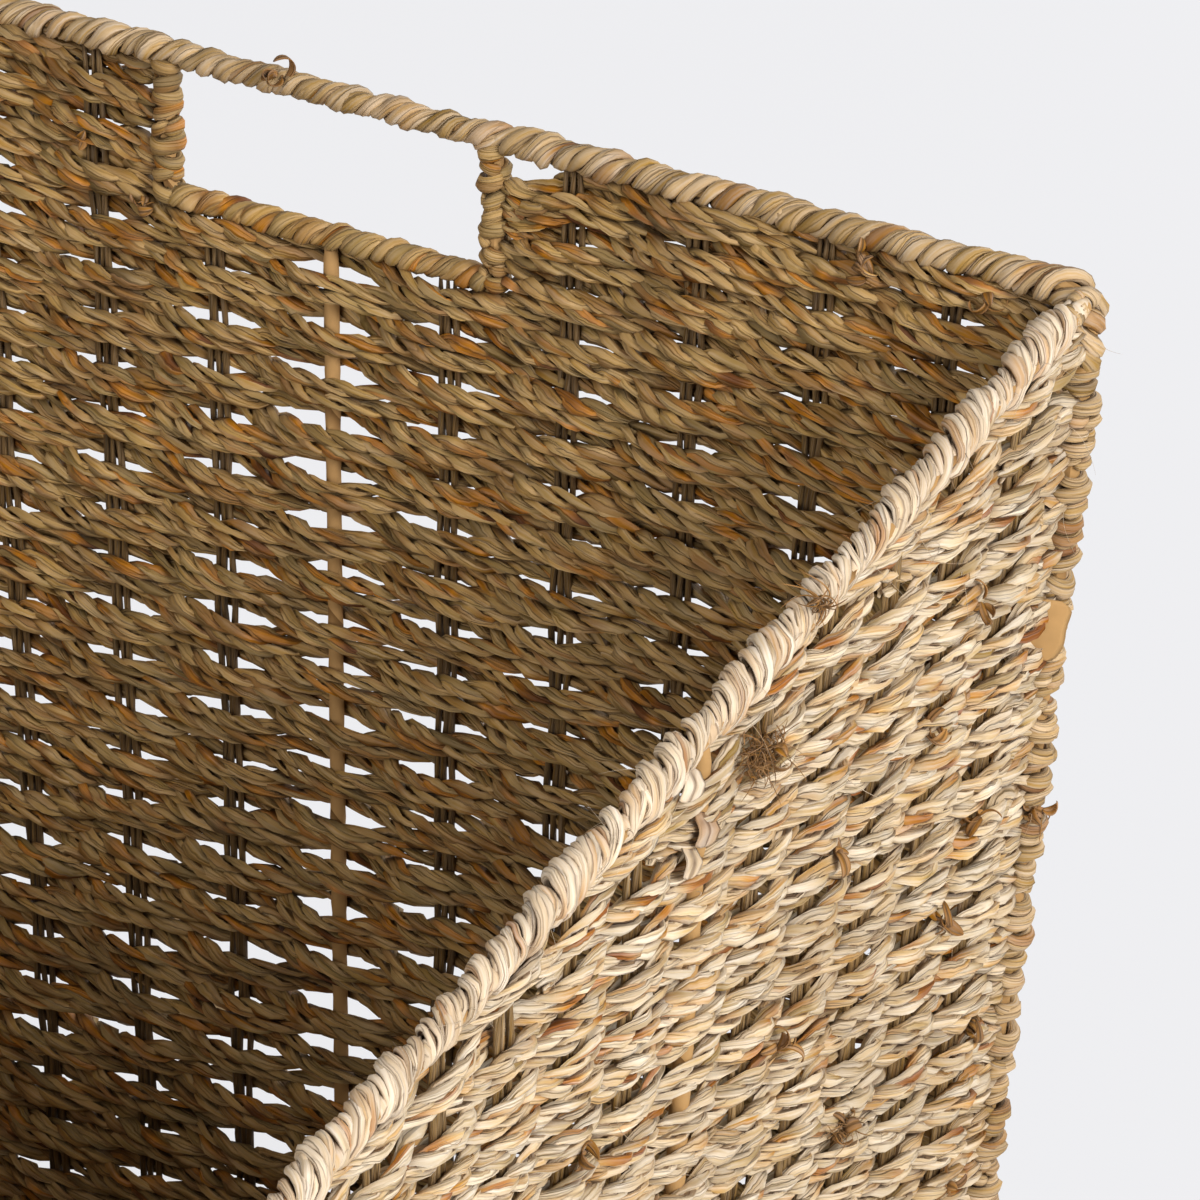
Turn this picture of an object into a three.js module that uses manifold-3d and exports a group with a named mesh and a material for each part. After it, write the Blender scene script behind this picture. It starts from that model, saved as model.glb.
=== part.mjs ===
// Magazine basket: seagrass cord woven over bundled stakes on a frame of taped iron rod.
// Millimetres, +Z up, +Y towards the tall back panel, +X to the right as seen from the front.
// The origin is on the floor under the middle of the rim's outline.

import * as THREE from 'three';
import { mergeVertices } from 'three/addons/utils/BufferGeometryUtils.js';
import Module from 'manifold-3d';

const wasm = await Module();
wasm.setup();

// Outline of the basket, measured between the centres of the frame rods
const rimWidth = 430;
const rimDepth = 340;
const backRimHeight = 356;
const frontRimHeight = 236;
const baseWidth = 352;
const baseDepth = 300;

// Frame rods, iron with paper tape wound on
const frameRodDiameter = 4;
const sideHoopRodDiameter = 5;
const rimBendRadius = 8;
const ringBendRadius = 7;
const handleBendRadius = 6;
const bendSteps = 3;
const rodSides = 8;

// Hand opening under the middle of the back rim
const handleClearWidth = 90;
const handleClearHeight = 30.6;

// Woven walls and base
const wallThickness = 10;
const baseThickness = 12.6;
const rowPitch = 6.6;
const rowGrooveDepth = 1;

// Stakes, each a flat bundle of strands. The side hoop rod takes the place of one, counted from the back.
const stakeWidth = 5.4;
const stakeThickness = 2.8;
const stakeShoulderShare = 0.5;
const backPanelSpaces = 12;
const sidePanelSpaces = 14;
const sideHoopSpaces = 6;
const lowerLayerHeight = 3.2;
const upperLayerHeight = 8.2;
const lowerLayerBend = 13;
const upperLayerBend = 9;

// Whipping wound on the rods: outer radius of each stretch, and how many loops it takes
const rimWrapRadius = 3.75;
const gripWrapRadius = 3.2;
const slopeWrapRadius = 5;
const handleWrapRadius = 3.5;
const cornerWrapRadius = 4;
const edgeWrapRadius = 3.5;
const wrapSeat = 0.4;
const loopGap = 0.9;
const bandFootShare = 0.55;
const bandCrownShare = 0.85;
const rimWrapLoops = 24;
const gripWrapLoops = 17;
const handleWrapLoops = 24;
const slopeWrapLoops = 20;
const frontWrapLoops = 24;
const thinWrapSteps = 6;
const thickWrapSteps = 6;
const bendWrapReach = 3;

// Clearance between pieces that touch, and how far a cutting body runs past what it cuts
const clearance = 0.3;
const overrun = 6;

// Heights and places worked out from the sizes above
const rodRadius = frameRodDiameter / 2;
const sideHoopRadius = sideHoopRodDiameter / 2;
const halfWall = wallThickness / 2;
const wallClearance = halfWall + 2 * clearance;
const backY = rimDepth / 2;
const rimSlope = (backRimHeight - frontRimHeight) / rimDepth;
const rimSlopeAngle = Math.atan(rimSlope);
const ringHeight = edgeWrapRadius;
const ringOffset = halfWall - edgeWrapRadius;
const baseFrontY = backY - baseDepth;
const sideLean = (rimWidth - baseWidth) / 2 / (backRimHeight - ringHeight);
const frontLean = (rimDepth - baseDepth) / (frontRimHeight - ringHeight);
const wallFootHeight = ringHeight + edgeWrapRadius + clearance;
const gripUnderside = backRimHeight - gripWrapRadius;
const sillHeight = gripUnderside - handleClearHeight - handleWrapRadius;
const postPlace = handleClearWidth / 2 + handleWrapRadius;

const halfWidthAt = (z) => baseWidth / 2 + sideLean * (z - ringHeight);
const depthAt = (z) => baseDepth + frontLean * (z - ringHeight);
const frontYAt = (z) => backY - depthAt(z);
const rimHeightAt = (y) => backRimHeight - rimSlope * (backY - y);

const finishes = {
  paper: { color: '#a98a58', roughness: 0.75, metalness: 0 },
  whipping: { color: '#cdb88f', roughness: 0.7, metalness: 0 },
  cord: { color: '#bfa678', roughness: 0.75, metalness: 0 },
  stake: { color: '#9c9068', roughness: 0.8, metalness: 0 },
};

function namedMesh(name, geometry, finish) {
  const material = new THREE.MeshStandardMaterial({ ...finishes[finish], flatShading: true });
  const mesh = new THREE.Mesh(geometry, material);
  mesh.name = name;
  return mesh;
}

// A bent rod's centre line: straight runs joined by arcs of one radius. It has a station at each end
// of a run and along each arc, and `sideways` is the direction that stays across it all the way.
class BentRoute extends THREE.Curve {
  constructor(corners, bendRadius, sideways) {
    super();
    this.sideways = sideways;
    this.points = [corners[0].clone()];
    this.tangents = [corners[1].clone().sub(corners[0]).normalize()];
    for (let i = 1; i < corners.length - 1; i += 1) {
      this.addBend(corners[i - 1], corners[i], corners[i + 1], bendRadius);
    }
    this.points.push(corners.at(-1).clone());
    this.tangents.push(corners.at(-1).clone().sub(corners.at(-2)).normalize());
    this.distances = [0];
    for (let i = 1; i < this.points.length; i += 1) {
      this.distances.push(this.distances[i - 1] + this.points[i].distanceTo(this.points[i - 1]));
    }
  }

  addBend(before, corner, after, radius) {
    const incoming = corner.clone().sub(before).normalize();
    const outgoing = after.clone().sub(corner).normalize();
    const turn = incoming.angleTo(outgoing);
    const inward = outgoing.clone().addScaledVector(incoming, -outgoing.dot(incoming)).normalize();
    const start = corner.clone().addScaledVector(incoming, -radius * Math.tan(turn / 2));
    const centre = start.clone().addScaledVector(inward, radius);
    for (let step = 0; step <= bendSteps; step += 1) {
      const angle = (turn * step) / bendSteps;
      const point = centre.clone().addScaledVector(inward, -radius * Math.cos(angle));
      this.points.push(point.addScaledVector(incoming, radius * Math.sin(angle)));
      const tangent = incoming.clone().multiplyScalar(Math.cos(angle));
      this.tangents.push(tangent.addScaledVector(inward, Math.sin(angle)));
    }
  }

  get steps() {
    return this.points.length - 1;
  }

  get length() {
    return this.distances.at(-1);
  }

  getPointAt(share, target = new THREE.Vector3()) {
    return target.copy(this.points[Math.round(share * this.steps)]);
  }

  getTangentAt(share, target = new THREE.Vector3()) {
    return target.copy(this.tangents[Math.round(share * this.steps)]);
  }

  axesAlong(tangent) {
    const across = this.sideways.clone().addScaledVector(tangent, -this.sideways.dot(tangent)).normalize();
    return { normal: across.clone().cross(tangent).normalize(), across };
  }

  computeFrenetFrames(segments) {
    const tangents = Array.from({ length: segments + 1 }, (_, i) => this.getTangentAt(i / segments));
    const axes = tangents.map((tangent) => this.axesAlong(tangent));
    return { tangents, normals: axes.map((a) => a.normal), binormals: axes.map((a) => a.across) };
  }

  // A point at a distance along the route, off its centre line by a radius in the direction of an angle
  pointAround(distance, angle, radius) {
    let i = 1;
    while (i < this.steps && this.distances[i] < distance) i += 1;
    const share = (distance - this.distances[i - 1]) / (this.distances[i] - this.distances[i - 1]);
    const tangent = this.tangents[i - 1].clone().lerp(this.tangents[i], share).normalize();
    const { normal, across } = this.axesAlong(tangent);
    const point = this.points[i - 1].clone().lerp(this.points[i], share);
    point.addScaledVector(normal, radius * Math.cos(angle));
    return point.addScaledVector(across, radius * Math.sin(angle));
  }
}

function roundSection(radius, sides) {
  const points = [];
  for (let i = 0; i < sides; i += 1) {
    const angle = (2 * Math.PI * (i + 1 / 2)) / sides;
    points.push(new THREE.Vector2(radius * Math.cos(angle), radius * Math.sin(angle)));
  }
  return new THREE.Shape(points);
}

// A flat bundle: wide across the route, thin along its normal, with pinched edges
function bundleSection(width, thickness) {
  const shoulder = (width / 2) * stakeShoulderShare;
  return new THREE.Shape([
    new THREE.Vector2(thickness / 2, -shoulder),
    new THREE.Vector2(thickness / 2, shoulder),
    new THREE.Vector2(0, width / 2),
    new THREE.Vector2(-thickness / 2, shoulder),
    new THREE.Vector2(-thickness / 2, -shoulder),
    new THREE.Vector2(0, -width / 2),
  ]);
}

function boxSection(width, thickness) {
  return new THREE.Shape([
    new THREE.Vector2(thickness / 2, -width / 2),
    new THREE.Vector2(thickness / 2, width / 2),
    new THREE.Vector2(-thickness / 2, width / 2),
    new THREE.Vector2(-thickness / 2, -width / 2),
  ]);
}

function sweep(section, route) {
  return new THREE.ExtrudeGeometry(section, { extrudePath: route, steps: route.steps, bevelEnabled: false });
}

// A round bore's corner radius, for flats that keep the clearance from a rod of that many sides
function boreRadius(radius, sides) {
  return radius + clearance / Math.cos(Math.PI / sides);
}

function solidOf(geometry) {
  const bare = geometry.clone();
  bare.deleteAttribute('normal');
  bare.deleteAttribute('uv');
  const merged = mergeVertices(bare);
  const vertProperties = new Float32Array(merged.attributes.position.array);
  const triVerts = new Uint32Array(merged.index.array);
  return new wasm.Manifold(new wasm.Mesh({ numProp: 3, vertProperties, triVerts }));
}

function geometryOf(solid) {
  const { vertProperties, triVerts } = solid.getMesh();
  const geometry = new THREE.BufferGeometry();
  geometry.setAttribute('position', new THREE.BufferAttribute(vertProperties, 3));
  geometry.setIndex(new THREE.BufferAttribute(triVerts, 1));
  geometry.computeVertexNormals();
  return geometry;
}

// Whipping: one unbroken band wound round a rod, its loops side by side with a narrow groove between
function windBand(name, route, outerRadius, loops, steps) {
  const innerRadius = (rodRadius + wrapSeat) / Math.cos(Math.PI / steps);
  const pitch = (route.length + loopGap) / (loops + 1);
  const halfBand = (pitch - loopGap) / 2;
  const halfFoot = halfBand * bandFootShare;
  const halfCrown = halfBand * bandCrownShare;
  const rings = [];
  for (let i = 0; i <= loops * steps; i += 1) {
    const angle = (2 * Math.PI * i) / steps;
    const middle = halfBand + (pitch * i) / steps;
    rings.push([
      route.pointAround(middle - halfFoot, angle, innerRadius),
      route.pointAround(middle + halfFoot, angle, innerRadius),
      route.pointAround(middle + halfCrown, angle, outerRadius),
      route.pointAround(middle - halfCrown, angle, outerRadius),
    ]);
  }
  reportLeastGap(name, rings, steps);
  return namedMesh(name, bandGeometry(rings), 'whipping');
}

// The faces of a band through its rings of four points, closed by a flat face at each end
function bandGeometry(rings) {
  const sides = rings[0].length;
  const faces = [];
  for (let i = 0; i < rings.length - 1; i += 1) {
    for (let side = 0; side < sides; side += 1) {
      const next = (side + 1) % sides;
      const near = i * sides;
      const far = near + sides;
      faces.push(near + side, near + next, far + next, near + side, far + next, far + side);
    }
  }
  const last = (rings.length - 1) * sides;
  for (let side = 1; side < sides - 1; side += 1) {
    faces.push(0, side + 1, side, last, last + side, last + side + 1);
  }
  const geometry = new THREE.BufferGeometry().setFromPoints(rings.flat());
  geometry.setIndex(faces);
  geometry.computeVertexNormals();
  return geometry;
}

// The least distance from a point of the band to a point of the loop beside it
function reportLeastGap(name, rings, steps) {
  let least = Infinity;
  for (let i = 0; i < rings.length; i += 1) {
    for (let j = i + steps - 1; j <= Math.min(i + steps + 1, rings.length - 1); j += 1) {
      for (const point of rings[i]) {
        for (const other of rings[j]) least = Math.min(least, point.distanceTo(other));
      }
    }
  }
  console.log(`${name}: least gap between its loops ${least.toFixed(2)} mm`);
}

// A plain sleeve of weft turns round a rod, open at both ends
function sleeve(route, outerRadius, innerRadius) {
  const section = roundSection(outerRadius, rodSides);
  section.holes.push(roundSection(boreRadius(innerRadius, rodSides), rodSides));
  return sweep(section, route);
}

const at = (x, y, z) => new THREE.Vector3(x, y, z);
const acrossX = at(1, 0, 0);
const acrossY = at(0, 1, 0);
const upright = at(0, 0, 1);
const rimPlaneNormal = at(0, -Math.sin(rimSlopeAngle), Math.cos(rimSlopeAngle));

// How far under a slanted rod's centre line the square end of a rod or stake stops
function endMargin(wrapRadius, halfSize, angle) {
  return wrapRadius / Math.cos(angle) + halfSize * Math.tan(angle) + clearance;
}

// The middle of the bend at a square corner between two directions that leave it
function bendMiddle(corner, directionA, directionB, radius) {
  const inset = radius * (1 - Math.SQRT1_2);
  return corner.clone().addScaledVector(directionA, inset).addScaledVector(directionB, inset);
}

const ringHalfWidth = baseWidth / 2 + ringOffset;
const ringBackY = backY + ringOffset;
const ringFrontY = baseFrontY - ringOffset;
const frontRimHalfWidth = halfWidthAt(frontRimHeight);
const slopeDirection = at(rimWidth / 2 - frontRimHalfWidth, rimDepth, backRimHeight - frontRimHeight).normalize();

function ringCorner(side, front) {
  const corner = at(side * ringHalfWidth, front ? ringFrontY : ringBackY, ringHeight);
  const alongDepth = at(0, front ? 1 : -1, 0);
  return bendMiddle(corner, at(-side, 0, 0), alongDepth, ringBendRadius);
}

function footOnRing(side, front) {
  return ringCorner(side, front).setZ(ringHeight + rodRadius + clearance);
}

function rimCorner(side) {
  return at((side * rimWidth) / 2, backY, backRimHeight);
}

function frontRimCorner(side) {
  return at(side * frontRimHalfWidth, -backY, frontRimHeight);
}

function slopeUp(side) {
  return slopeDirection.clone().multiply(at(side, 1, 1));
}

// The point of a leg or upright at a height, on the line from its foot to its top
function onLine(from, to, z) {
  return from.clone().lerp(to, (z - from.z) / (to.z - from.z));
}

function frontUprightTop(side) {
  const seat = bendMiddle(frontRimCorner(side), slopeUp(side), at(-side, 0, 0), rimBendRadius);
  const foot = footOnRing(side, true);
  const reach = endMargin(slopeWrapRadius, rodRadius, rimSlopeAngle);
  return seat.addScaledVector(seat.clone().sub(foot).normalize(), -reach);
}

// Frame rods

function backFrameRoute() {
  return new BentRoute([footOnRing(1, false), rimCorner(1), rimCorner(-1), footOnRing(-1, false)],
    rimBendRadius, acrossY);
}

function frontRimRoute() {
  const reach = (rimWrapRadius + clearance) / slopeDirection.y;
  const start = rimCorner(1).addScaledVector(slopeUp(1), -reach);
  const end = rimCorner(-1).addScaledVector(slopeUp(-1), -reach);
  return new BentRoute([start, frontRimCorner(1), frontRimCorner(-1), end], rimBendRadius, rimPlaneNormal);
}

// The base ring starts and ends in the middle of its back side, where the bent rod's ends meet
function baseRingRoute() {
  const corners = [
    at(clearance / 2, ringBackY, ringHeight),
    at(ringHalfWidth, ringBackY, ringHeight),
    at(ringHalfWidth, ringFrontY, ringHeight),
    at(-ringHalfWidth, ringFrontY, ringHeight),
    at(-ringHalfWidth, ringBackY, ringHeight),
    at(-clearance / 2, ringBackY, ringHeight),
  ];
  return new BentRoute(corners, ringBendRadius, upright);
}

function handleRoute() {
  const top = backRimHeight - rimWrapRadius - clearance;
  const corners = [
    at(postPlace, backY, top),
    at(postPlace, backY, sillHeight),
    at(-postPlace, backY, sillHeight),
    at(-postPlace, backY, top),
  ];
  return new BentRoute(corners, handleBendRadius, acrossY);
}

// Hoops and stakes run down one wall, under the base and up the wall opposite

function backTopHeight(x, halfSize) {
  const underHandle = Math.abs(x) - halfSize < postPlace;
  return underHandle ? sillHeight - handleWrapRadius - clearance : backRimHeight - rimWrapRadius - clearance;
}

function frontBackRoute(share) {
  const layer = lowerLayerHeight;
  const backTop = backTopHeight((share * rimWidth) / 2, stakeWidth / 2);
  const frontTop = frontRimHeight - slopeWrapRadius - 2 * clearance;
  const corners = [
    at(share * halfWidthAt(backTop), backY, backTop),
    at(share * halfWidthAt(layer), backY, layer),
    at(share * halfWidthAt(layer), frontYAt(layer), layer),
    at(share * halfWidthAt(frontTop), frontYAt(frontTop), frontTop),
  ];
  return new BentRoute(corners, lowerLayerBend, acrossX);
}

// The height at which a side wall's stake, that share of the depth in front of the back, meets the rim
function sideTopHeight(share, halfSize) {
  const margin = endMargin(slopeWrapRadius, halfSize, rimSlopeAngle);
  const depthAtFloor = baseDepth - frontLean * ringHeight;
  return (backRimHeight - margin - rimSlope * share * depthAtFloor) / (1 + rimSlope * share * frontLean);
}

function sideRoute(share, halfSize) {
  const layer = upperLayerHeight;
  const top = sideTopHeight(share, halfSize);
  const yAt = (z) => backY - share * depthAt(z);
  const corners = [
    at(halfWidthAt(top), yAt(top), top),
    at(halfWidthAt(layer), yAt(layer), layer),
    at(-halfWidthAt(layer), yAt(layer), layer),
    at(-halfWidthAt(top), yAt(top), top),
  ];
  return new BentRoute(corners, upperLayerBend, acrossY);
}

// The stakes' places as shares of a panel's width, without the place that the hoop rod takes
function stakeShares(spaces, hoopPlace) {
  const shares = [];
  for (let i = 1; i < spaces; i += 1) {
    if (i !== hoopPlace) shares.push(i / spaces);
  }
  return shares;
}

const frontBackHoop = frontBackRoute(0);
const sideHoop = sideRoute(sideHoopSpaces / sidePanelSpaces, sideHoopRadius);
const frontBackStakes = stakeShares(backPanelSpaces, backPanelSpaces / 2)
  .map((share) => frontBackRoute(2 * share - 1));
const sideStakes = stakeShares(sidePanelSpaces, sideHoopSpaces)
  .map((share) => sideRoute(share, stakeWidth / 2));

function frameGroup() {
  const group = new THREE.Group();
  const round = roundSection(rodRadius, rodSides);
  group.add(namedMesh('back_frame_rod', sweep(round, backFrameRoute()), 'paper'));
  group.add(namedMesh('front_rim_rod', sweep(round, frontRimRoute()), 'paper'));
  group.add(namedMesh('base_ring_rod', sweep(round, baseRingRoute()), 'paper'));
  group.add(namedMesh('handle_rod', sweep(round, handleRoute()), 'paper'));
  for (const [side, word] of [[1, 'right'], [-1, 'left']]) {
    const route = new BentRoute([footOnRing(side, true), frontUprightTop(side)], 0, acrossX);
    group.add(namedMesh(`front_${word}_upright_rod`, sweep(round, route), 'paper'));
  }
  group.add(namedMesh('front_back_hoop_rod', sweep(round, frontBackHoop), 'paper'));
  group.add(namedMesh('side_hoop_rod', sweep(roundSection(sideHoopRadius, rodSides), sideHoop), 'paper'));
  return group;
}

function stakeGroup() {
  const group = new THREE.Group();
  const section = bundleSection(stakeWidth, stakeThickness);
  frontBackStakes.forEach((route, i) => {
    group.add(namedMesh(`front_back_stake_${i + 1}`, sweep(section, route), 'stake'));
  });
  sideStakes.forEach((route, i) => {
    group.add(namedMesh(`side_stake_${i + 1}`, sweep(section, route), 'stake'));
  });
  return group;
}

// Whipping and weft turns round the rods

function windingGroup() {
  const group = new THREE.Group();
  const gripEnd = handleClearWidth / 2 - clearance;
  const grip = new BentRoute([at(gripEnd, backY, backRimHeight), at(-gripEnd, backY, backRimHeight)], 0, acrossY);
  group.add(windBand('handle_grip_wrap', grip, gripWrapRadius, gripWrapLoops, thinWrapSteps));
  group.add(windBand('handle_surround_wrap', handleRoute(), handleWrapRadius, handleWrapLoops, thinWrapSteps));
  const rimWrapStart = rimWidth / 2 - rimBendRadius - bendWrapReach - 2 * clearance;
  const rimWrapEnd = handleClearWidth / 2 + clearance;
  const slopeWrapStart = wallClearance / slopeDirection.y;
  const slopeWrapEnd = rimBendRadius + bendWrapReach + 2 * clearance;
  for (const [side, word] of [[1, 'right'], [-1, 'left']]) {
    const rim = new BentRoute([at(side * rimWrapStart, backY, backRimHeight),
      at(side * rimWrapEnd, backY, backRimHeight)], 0, acrossY);
    group.add(windBand(`back_rim_wrap_${word}`, rim, rimWrapRadius, rimWrapLoops, thinWrapSteps));
    const top = rimCorner(side).addScaledVector(slopeUp(side), -slopeWrapStart);
    const foot = frontRimCorner(side).addScaledVector(slopeUp(side), slopeWrapEnd);
    const slope = new BentRoute([top, foot], 0, rimPlaneNormal);
    group.add(windBand(`${word}_slope_wrap`, slope, slopeWrapRadius, slopeWrapLoops, thickWrapSteps));
  }
  const frontEnd = frontRimHalfWidth - slopeWrapEnd;
  const front = new BentRoute([at(frontEnd, -backY, frontRimHeight), at(-frontEnd, -backY, frontRimHeight)],
    0, rimPlaneNormal);
  group.add(windBand('front_rim_wrap', front, slopeWrapRadius, frontWrapLoops, thickWrapSteps));
  return group;
}

// Plain sleeves round the rim's bends and down the four corners
function cornerGroup() {
  const group = new THREE.Group();
  const reach = rimBendRadius + bendWrapReach;
  for (const [side, word] of [[1, 'right'], [-1, 'left']]) {
    const inward = at(-side, 0, 0);
    const corner = rimCorner(side);
    const backFoot = footOnRing(side, false);
    const bendFoot = onLine(backFoot, corner, backRimHeight - reach);
    const backBend = new BentRoute([bendFoot, corner, corner.clone().addScaledVector(inward, reach)],
      rimBendRadius, acrossY);
    group.add(namedMesh(`back_${word}_bend_wrap`, sleeve(backBend, rimWrapRadius, rodRadius), 'whipping'));
    const legTop = onLine(backFoot, corner, backRimHeight - reach - 2 * clearance);
    const back = new BentRoute([onLine(backFoot, corner, wallFootHeight), legTop], 0, acrossY);
    group.add(namedMesh(`back_${word}_corner_wrap`, sleeve(back, cornerWrapRadius, rodRadius), 'cord'));

    const frontCorner = frontRimCorner(side);
    const frontBend = new BentRoute([frontCorner.clone().addScaledVector(slopeUp(side), reach), frontCorner,
      frontCorner.clone().addScaledVector(inward, reach)], rimBendRadius, rimPlaneNormal);
    group.add(namedMesh(`front_${word}_bend_wrap`, sleeve(frontBend, slopeWrapRadius, rodRadius), 'whipping'));
    const frontFoot = footOnRing(side, true);
    const frontTop = frontUprightTop(side);
    const front = new BentRoute([onLine(frontFoot, frontTop, wallFootHeight), frontTop], 0, acrossY);
    group.add(namedMesh(`front_${word}_corner_wrap`, sleeve(front, cornerWrapRadius, rodRadius), 'cord'));
  }
  return group;
}

function edgeGroup() {
  const group = new THREE.Group();
  const straightX = ringHalfWidth - ringBendRadius;
  const straightBack = ringBackY - ringBendRadius;
  const straightFront = ringFrontY + ringBendRadius;
  const runs = {
    back: [at(straightX, ringBackY, ringHeight), at(-straightX, ringBackY, ringHeight)],
    front: [at(straightX, ringFrontY, ringHeight), at(-straightX, ringFrontY, ringHeight)],
    left: [at(-ringHalfWidth, straightBack, ringHeight), at(-ringHalfWidth, straightFront, ringHeight)],
    right: [at(ringHalfWidth, straightBack, ringHeight), at(ringHalfWidth, straightFront, ringHeight)],
  };
  for (const [word, ends] of Object.entries(runs)) {
    const geometry = sleeve(new BentRoute(ends, 0, upright), edgeWrapRadius, rodRadius);
    group.add(namedMesh(`base_edge_wrap_${word}`, geometry, 'cord'));
  }
  return group;
}

// Woven panels: the walls have one ridge for each weft row on both faces. All are cut to their outline
// and bored for the stakes and hoop rods that pass through.

function wallFrame(origin, along, up) {
  const across = along.clone().cross(up).normalize();
  const matrix = new THREE.Matrix4().makeBasis(along.clone().normalize(), up.clone().normalize(), across);
  return matrix.setPosition(origin);
}

// The rows' section: a ridge for each row up one face and down the other
function ridgedSection(bottom, top) {
  const halfRows = 2 * Math.ceil((top - bottom) / rowPitch);
  const outer = [];
  const inner = [];
  for (let i = 0; i <= halfRows; i += 1) {
    const height = bottom + (i * rowPitch) / 2;
    const face = i % 2 === 0 ? halfWall - rowGrooveDepth : halfWall;
    outer.push(new THREE.Vector2(height, face));
    inner.push(new THREE.Vector2(height, -face));
  }
  return new THREE.Shape([...outer, ...inner.reverse()]);
}

// A flat slab of the outline, between two levels across the panel
function flatSlab(outline, low, high) {
  const shape = new THREE.Shape(outline.map((point) => new THREE.Vector2(point.x, point.y)));
  const slab = new THREE.ExtrudeGeometry(shape, { depth: high - low, bevelEnabled: false });
  return slab.translate(0, 0, low);
}

function ridgedSlab(outline) {
  const bounds = new THREE.Box3().setFromPoints(outline);
  const length = bounds.max.x - bounds.min.x + 2 * overrun;
  const section = ridgedSection(bounds.min.y, bounds.max.y);
  const rows = new THREE.ExtrudeGeometry(section, { depth: length, bevelEnabled: false });
  rows.applyMatrix4(new THREE.Matrix4().makeBasis(acrossY, upright, acrossX));
  return rows.translate(bounds.min.x - overrun, 0, 0);
}

function panelMesh(name, frame, solid, routes) {
  const toLocal = frame.clone().invert();
  let panel = solid;
  for (const { route, section } of routes) {
    panel = panel.subtract(solidOf(sweep(section, route).applyMatrix4(toLocal)));
  }
  const mesh = namedMesh(name, geometryOf(panel), 'cord');
  mesh.position.setFromMatrixPosition(frame);
  mesh.quaternion.setFromRotationMatrix(frame);
  return mesh;
}

function localOutline(frame, worldOutline) {
  const toLocal = frame.clone().invert();
  return worldOutline.map((point) => point.clone().applyMatrix4(toLocal));
}

function wovenWall(name, frame, worldOutline, routes) {
  const outline = localOutline(frame, worldOutline);
  const cutter = solidOf(flatSlab(outline, -halfWall - overrun, halfWall + overrun));
  return panelMesh(name, frame, solidOf(ridgedSlab(outline)).intersect(cutter), routes);
}

function wovenBase(name, routes) {
  const slab = solidOf(flatSlab(baseOutline(), 0, baseThickness));
  return panelMesh(name, new THREE.Matrix4(), slab, routes);
}

// A hoop's or stake's route with both ends run on past the rim, so that its bore is open there
function extended(route) {
  const longer = Object.create(route);
  longer.points = route.points.map((point) => point.clone());
  longer.points[0].addScaledVector(route.tangents[0], -wallThickness);
  longer.points.at(-1).addScaledVector(route.tangents.at(-1), wallThickness);
  return longer;
}

function bores(hoop, hoopRadius, stakes) {
  const bundle = boxSection(stakeWidth + 2 * clearance, stakeThickness + 2 * clearance);
  const round = roundSection(boreRadius(hoopRadius, rodSides), rodSides);
  const list = stakes.map((route) => ({ route: extended(route), section: bundle }));
  return [{ route: extended(hoop), section: round }, ...list];
}

// The centre lines that the back legs and the front uprights stand on
const backCornerAt = (z) => onLine(footOnRing(1, false), rimCorner(1), z);
const frontCornerAt = (z) => onLine(footOnRing(1, true), frontUprightTop(1), z);

const frontBackBores = bores(frontBackHoop, rodRadius, frontBackStakes);
const sideBores = bores(sideHoop, sideHoopRadius, sideStakes);
const cornerClearance = cornerWrapRadius + clearance;

function backOutline() {
  const foot = wallFootHeight;
  const top = backRimHeight - rimWrapRadius - clearance;
  const bendFoot = backRimHeight - rimBendRadius;
  const notchFoot = sillHeight - handleWrapRadius - clearance;
  const notchHalf = postPlace + handleWrapRadius + clearance;
  const edgeAt = (z) => backCornerAt(z).x - cornerClearance;
  const chamfer = top - bendFoot;
  const half = [
    [edgeAt(foot), foot],
    [edgeAt(bendFoot), bendFoot],
    [edgeAt(bendFoot) - chamfer, top],
    [notchHalf, top],
    [notchHalf, notchFoot],
  ];
  const right = half.map(([x, z]) => at(x, backY, z));
  const left = half.map(([x, z]) => at(-x, backY, z)).reverse();
  return [...right, ...left];
}

function frontOutline() {
  const foot = wallFootHeight;
  const top = frontRimHeight - slopeWrapRadius - 2 * clearance;
  const bendFoot = top - rimBendRadius;
  const edgeAt = (z) => frontCornerAt(z).x - cornerClearance;
  const half = [[edgeAt(foot), foot], [edgeAt(bendFoot), bendFoot], [edgeAt(bendFoot) - rimBendRadius, top]];
  const right = half.map(([x, z]) => at(x, frontYAt(z), z));
  const left = half.map(([x, z]) => at(-x, frontYAt(z), z)).reverse();
  return [...right, ...left];
}

function sideOutline(side) {
  const foot = wallFootHeight;
  const margin = endMargin(slopeWrapRadius, 0, rimSlopeAngle);
  const backEdge = backY - wallClearance;
  const backTop = rimHeightAt(backEdge) - margin;
  const frontEdgeAt = (z) => Math.max(frontYAt(z) + wallClearance, frontCornerAt(z).y + cornerClearance);
  const nearFrontTop = rimHeightAt(wallClearance - backY) - margin;
  const frontTop = rimHeightAt(frontEdgeAt(nearFrontTop)) - margin;
  return [
    at(side * halfWidthAt(foot), backEdge, foot),
    at(side * halfWidthAt(backTop), backEdge, backTop),
    at(side * halfWidthAt(frontTop), frontEdgeAt(frontTop), frontTop),
    at(side * halfWidthAt(foot), frontEdgeAt(foot), foot),
  ];
}

function baseOutline() {
  const halfWidth = baseWidth / 2 - wallClearance;
  const back = backY - wallClearance;
  const front = baseFrontY + wallClearance;
  return [at(halfWidth, back, 0), at(-halfWidth, back, 0), at(-halfWidth, front, 0), at(halfWidth, front, 0)];
}

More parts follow.
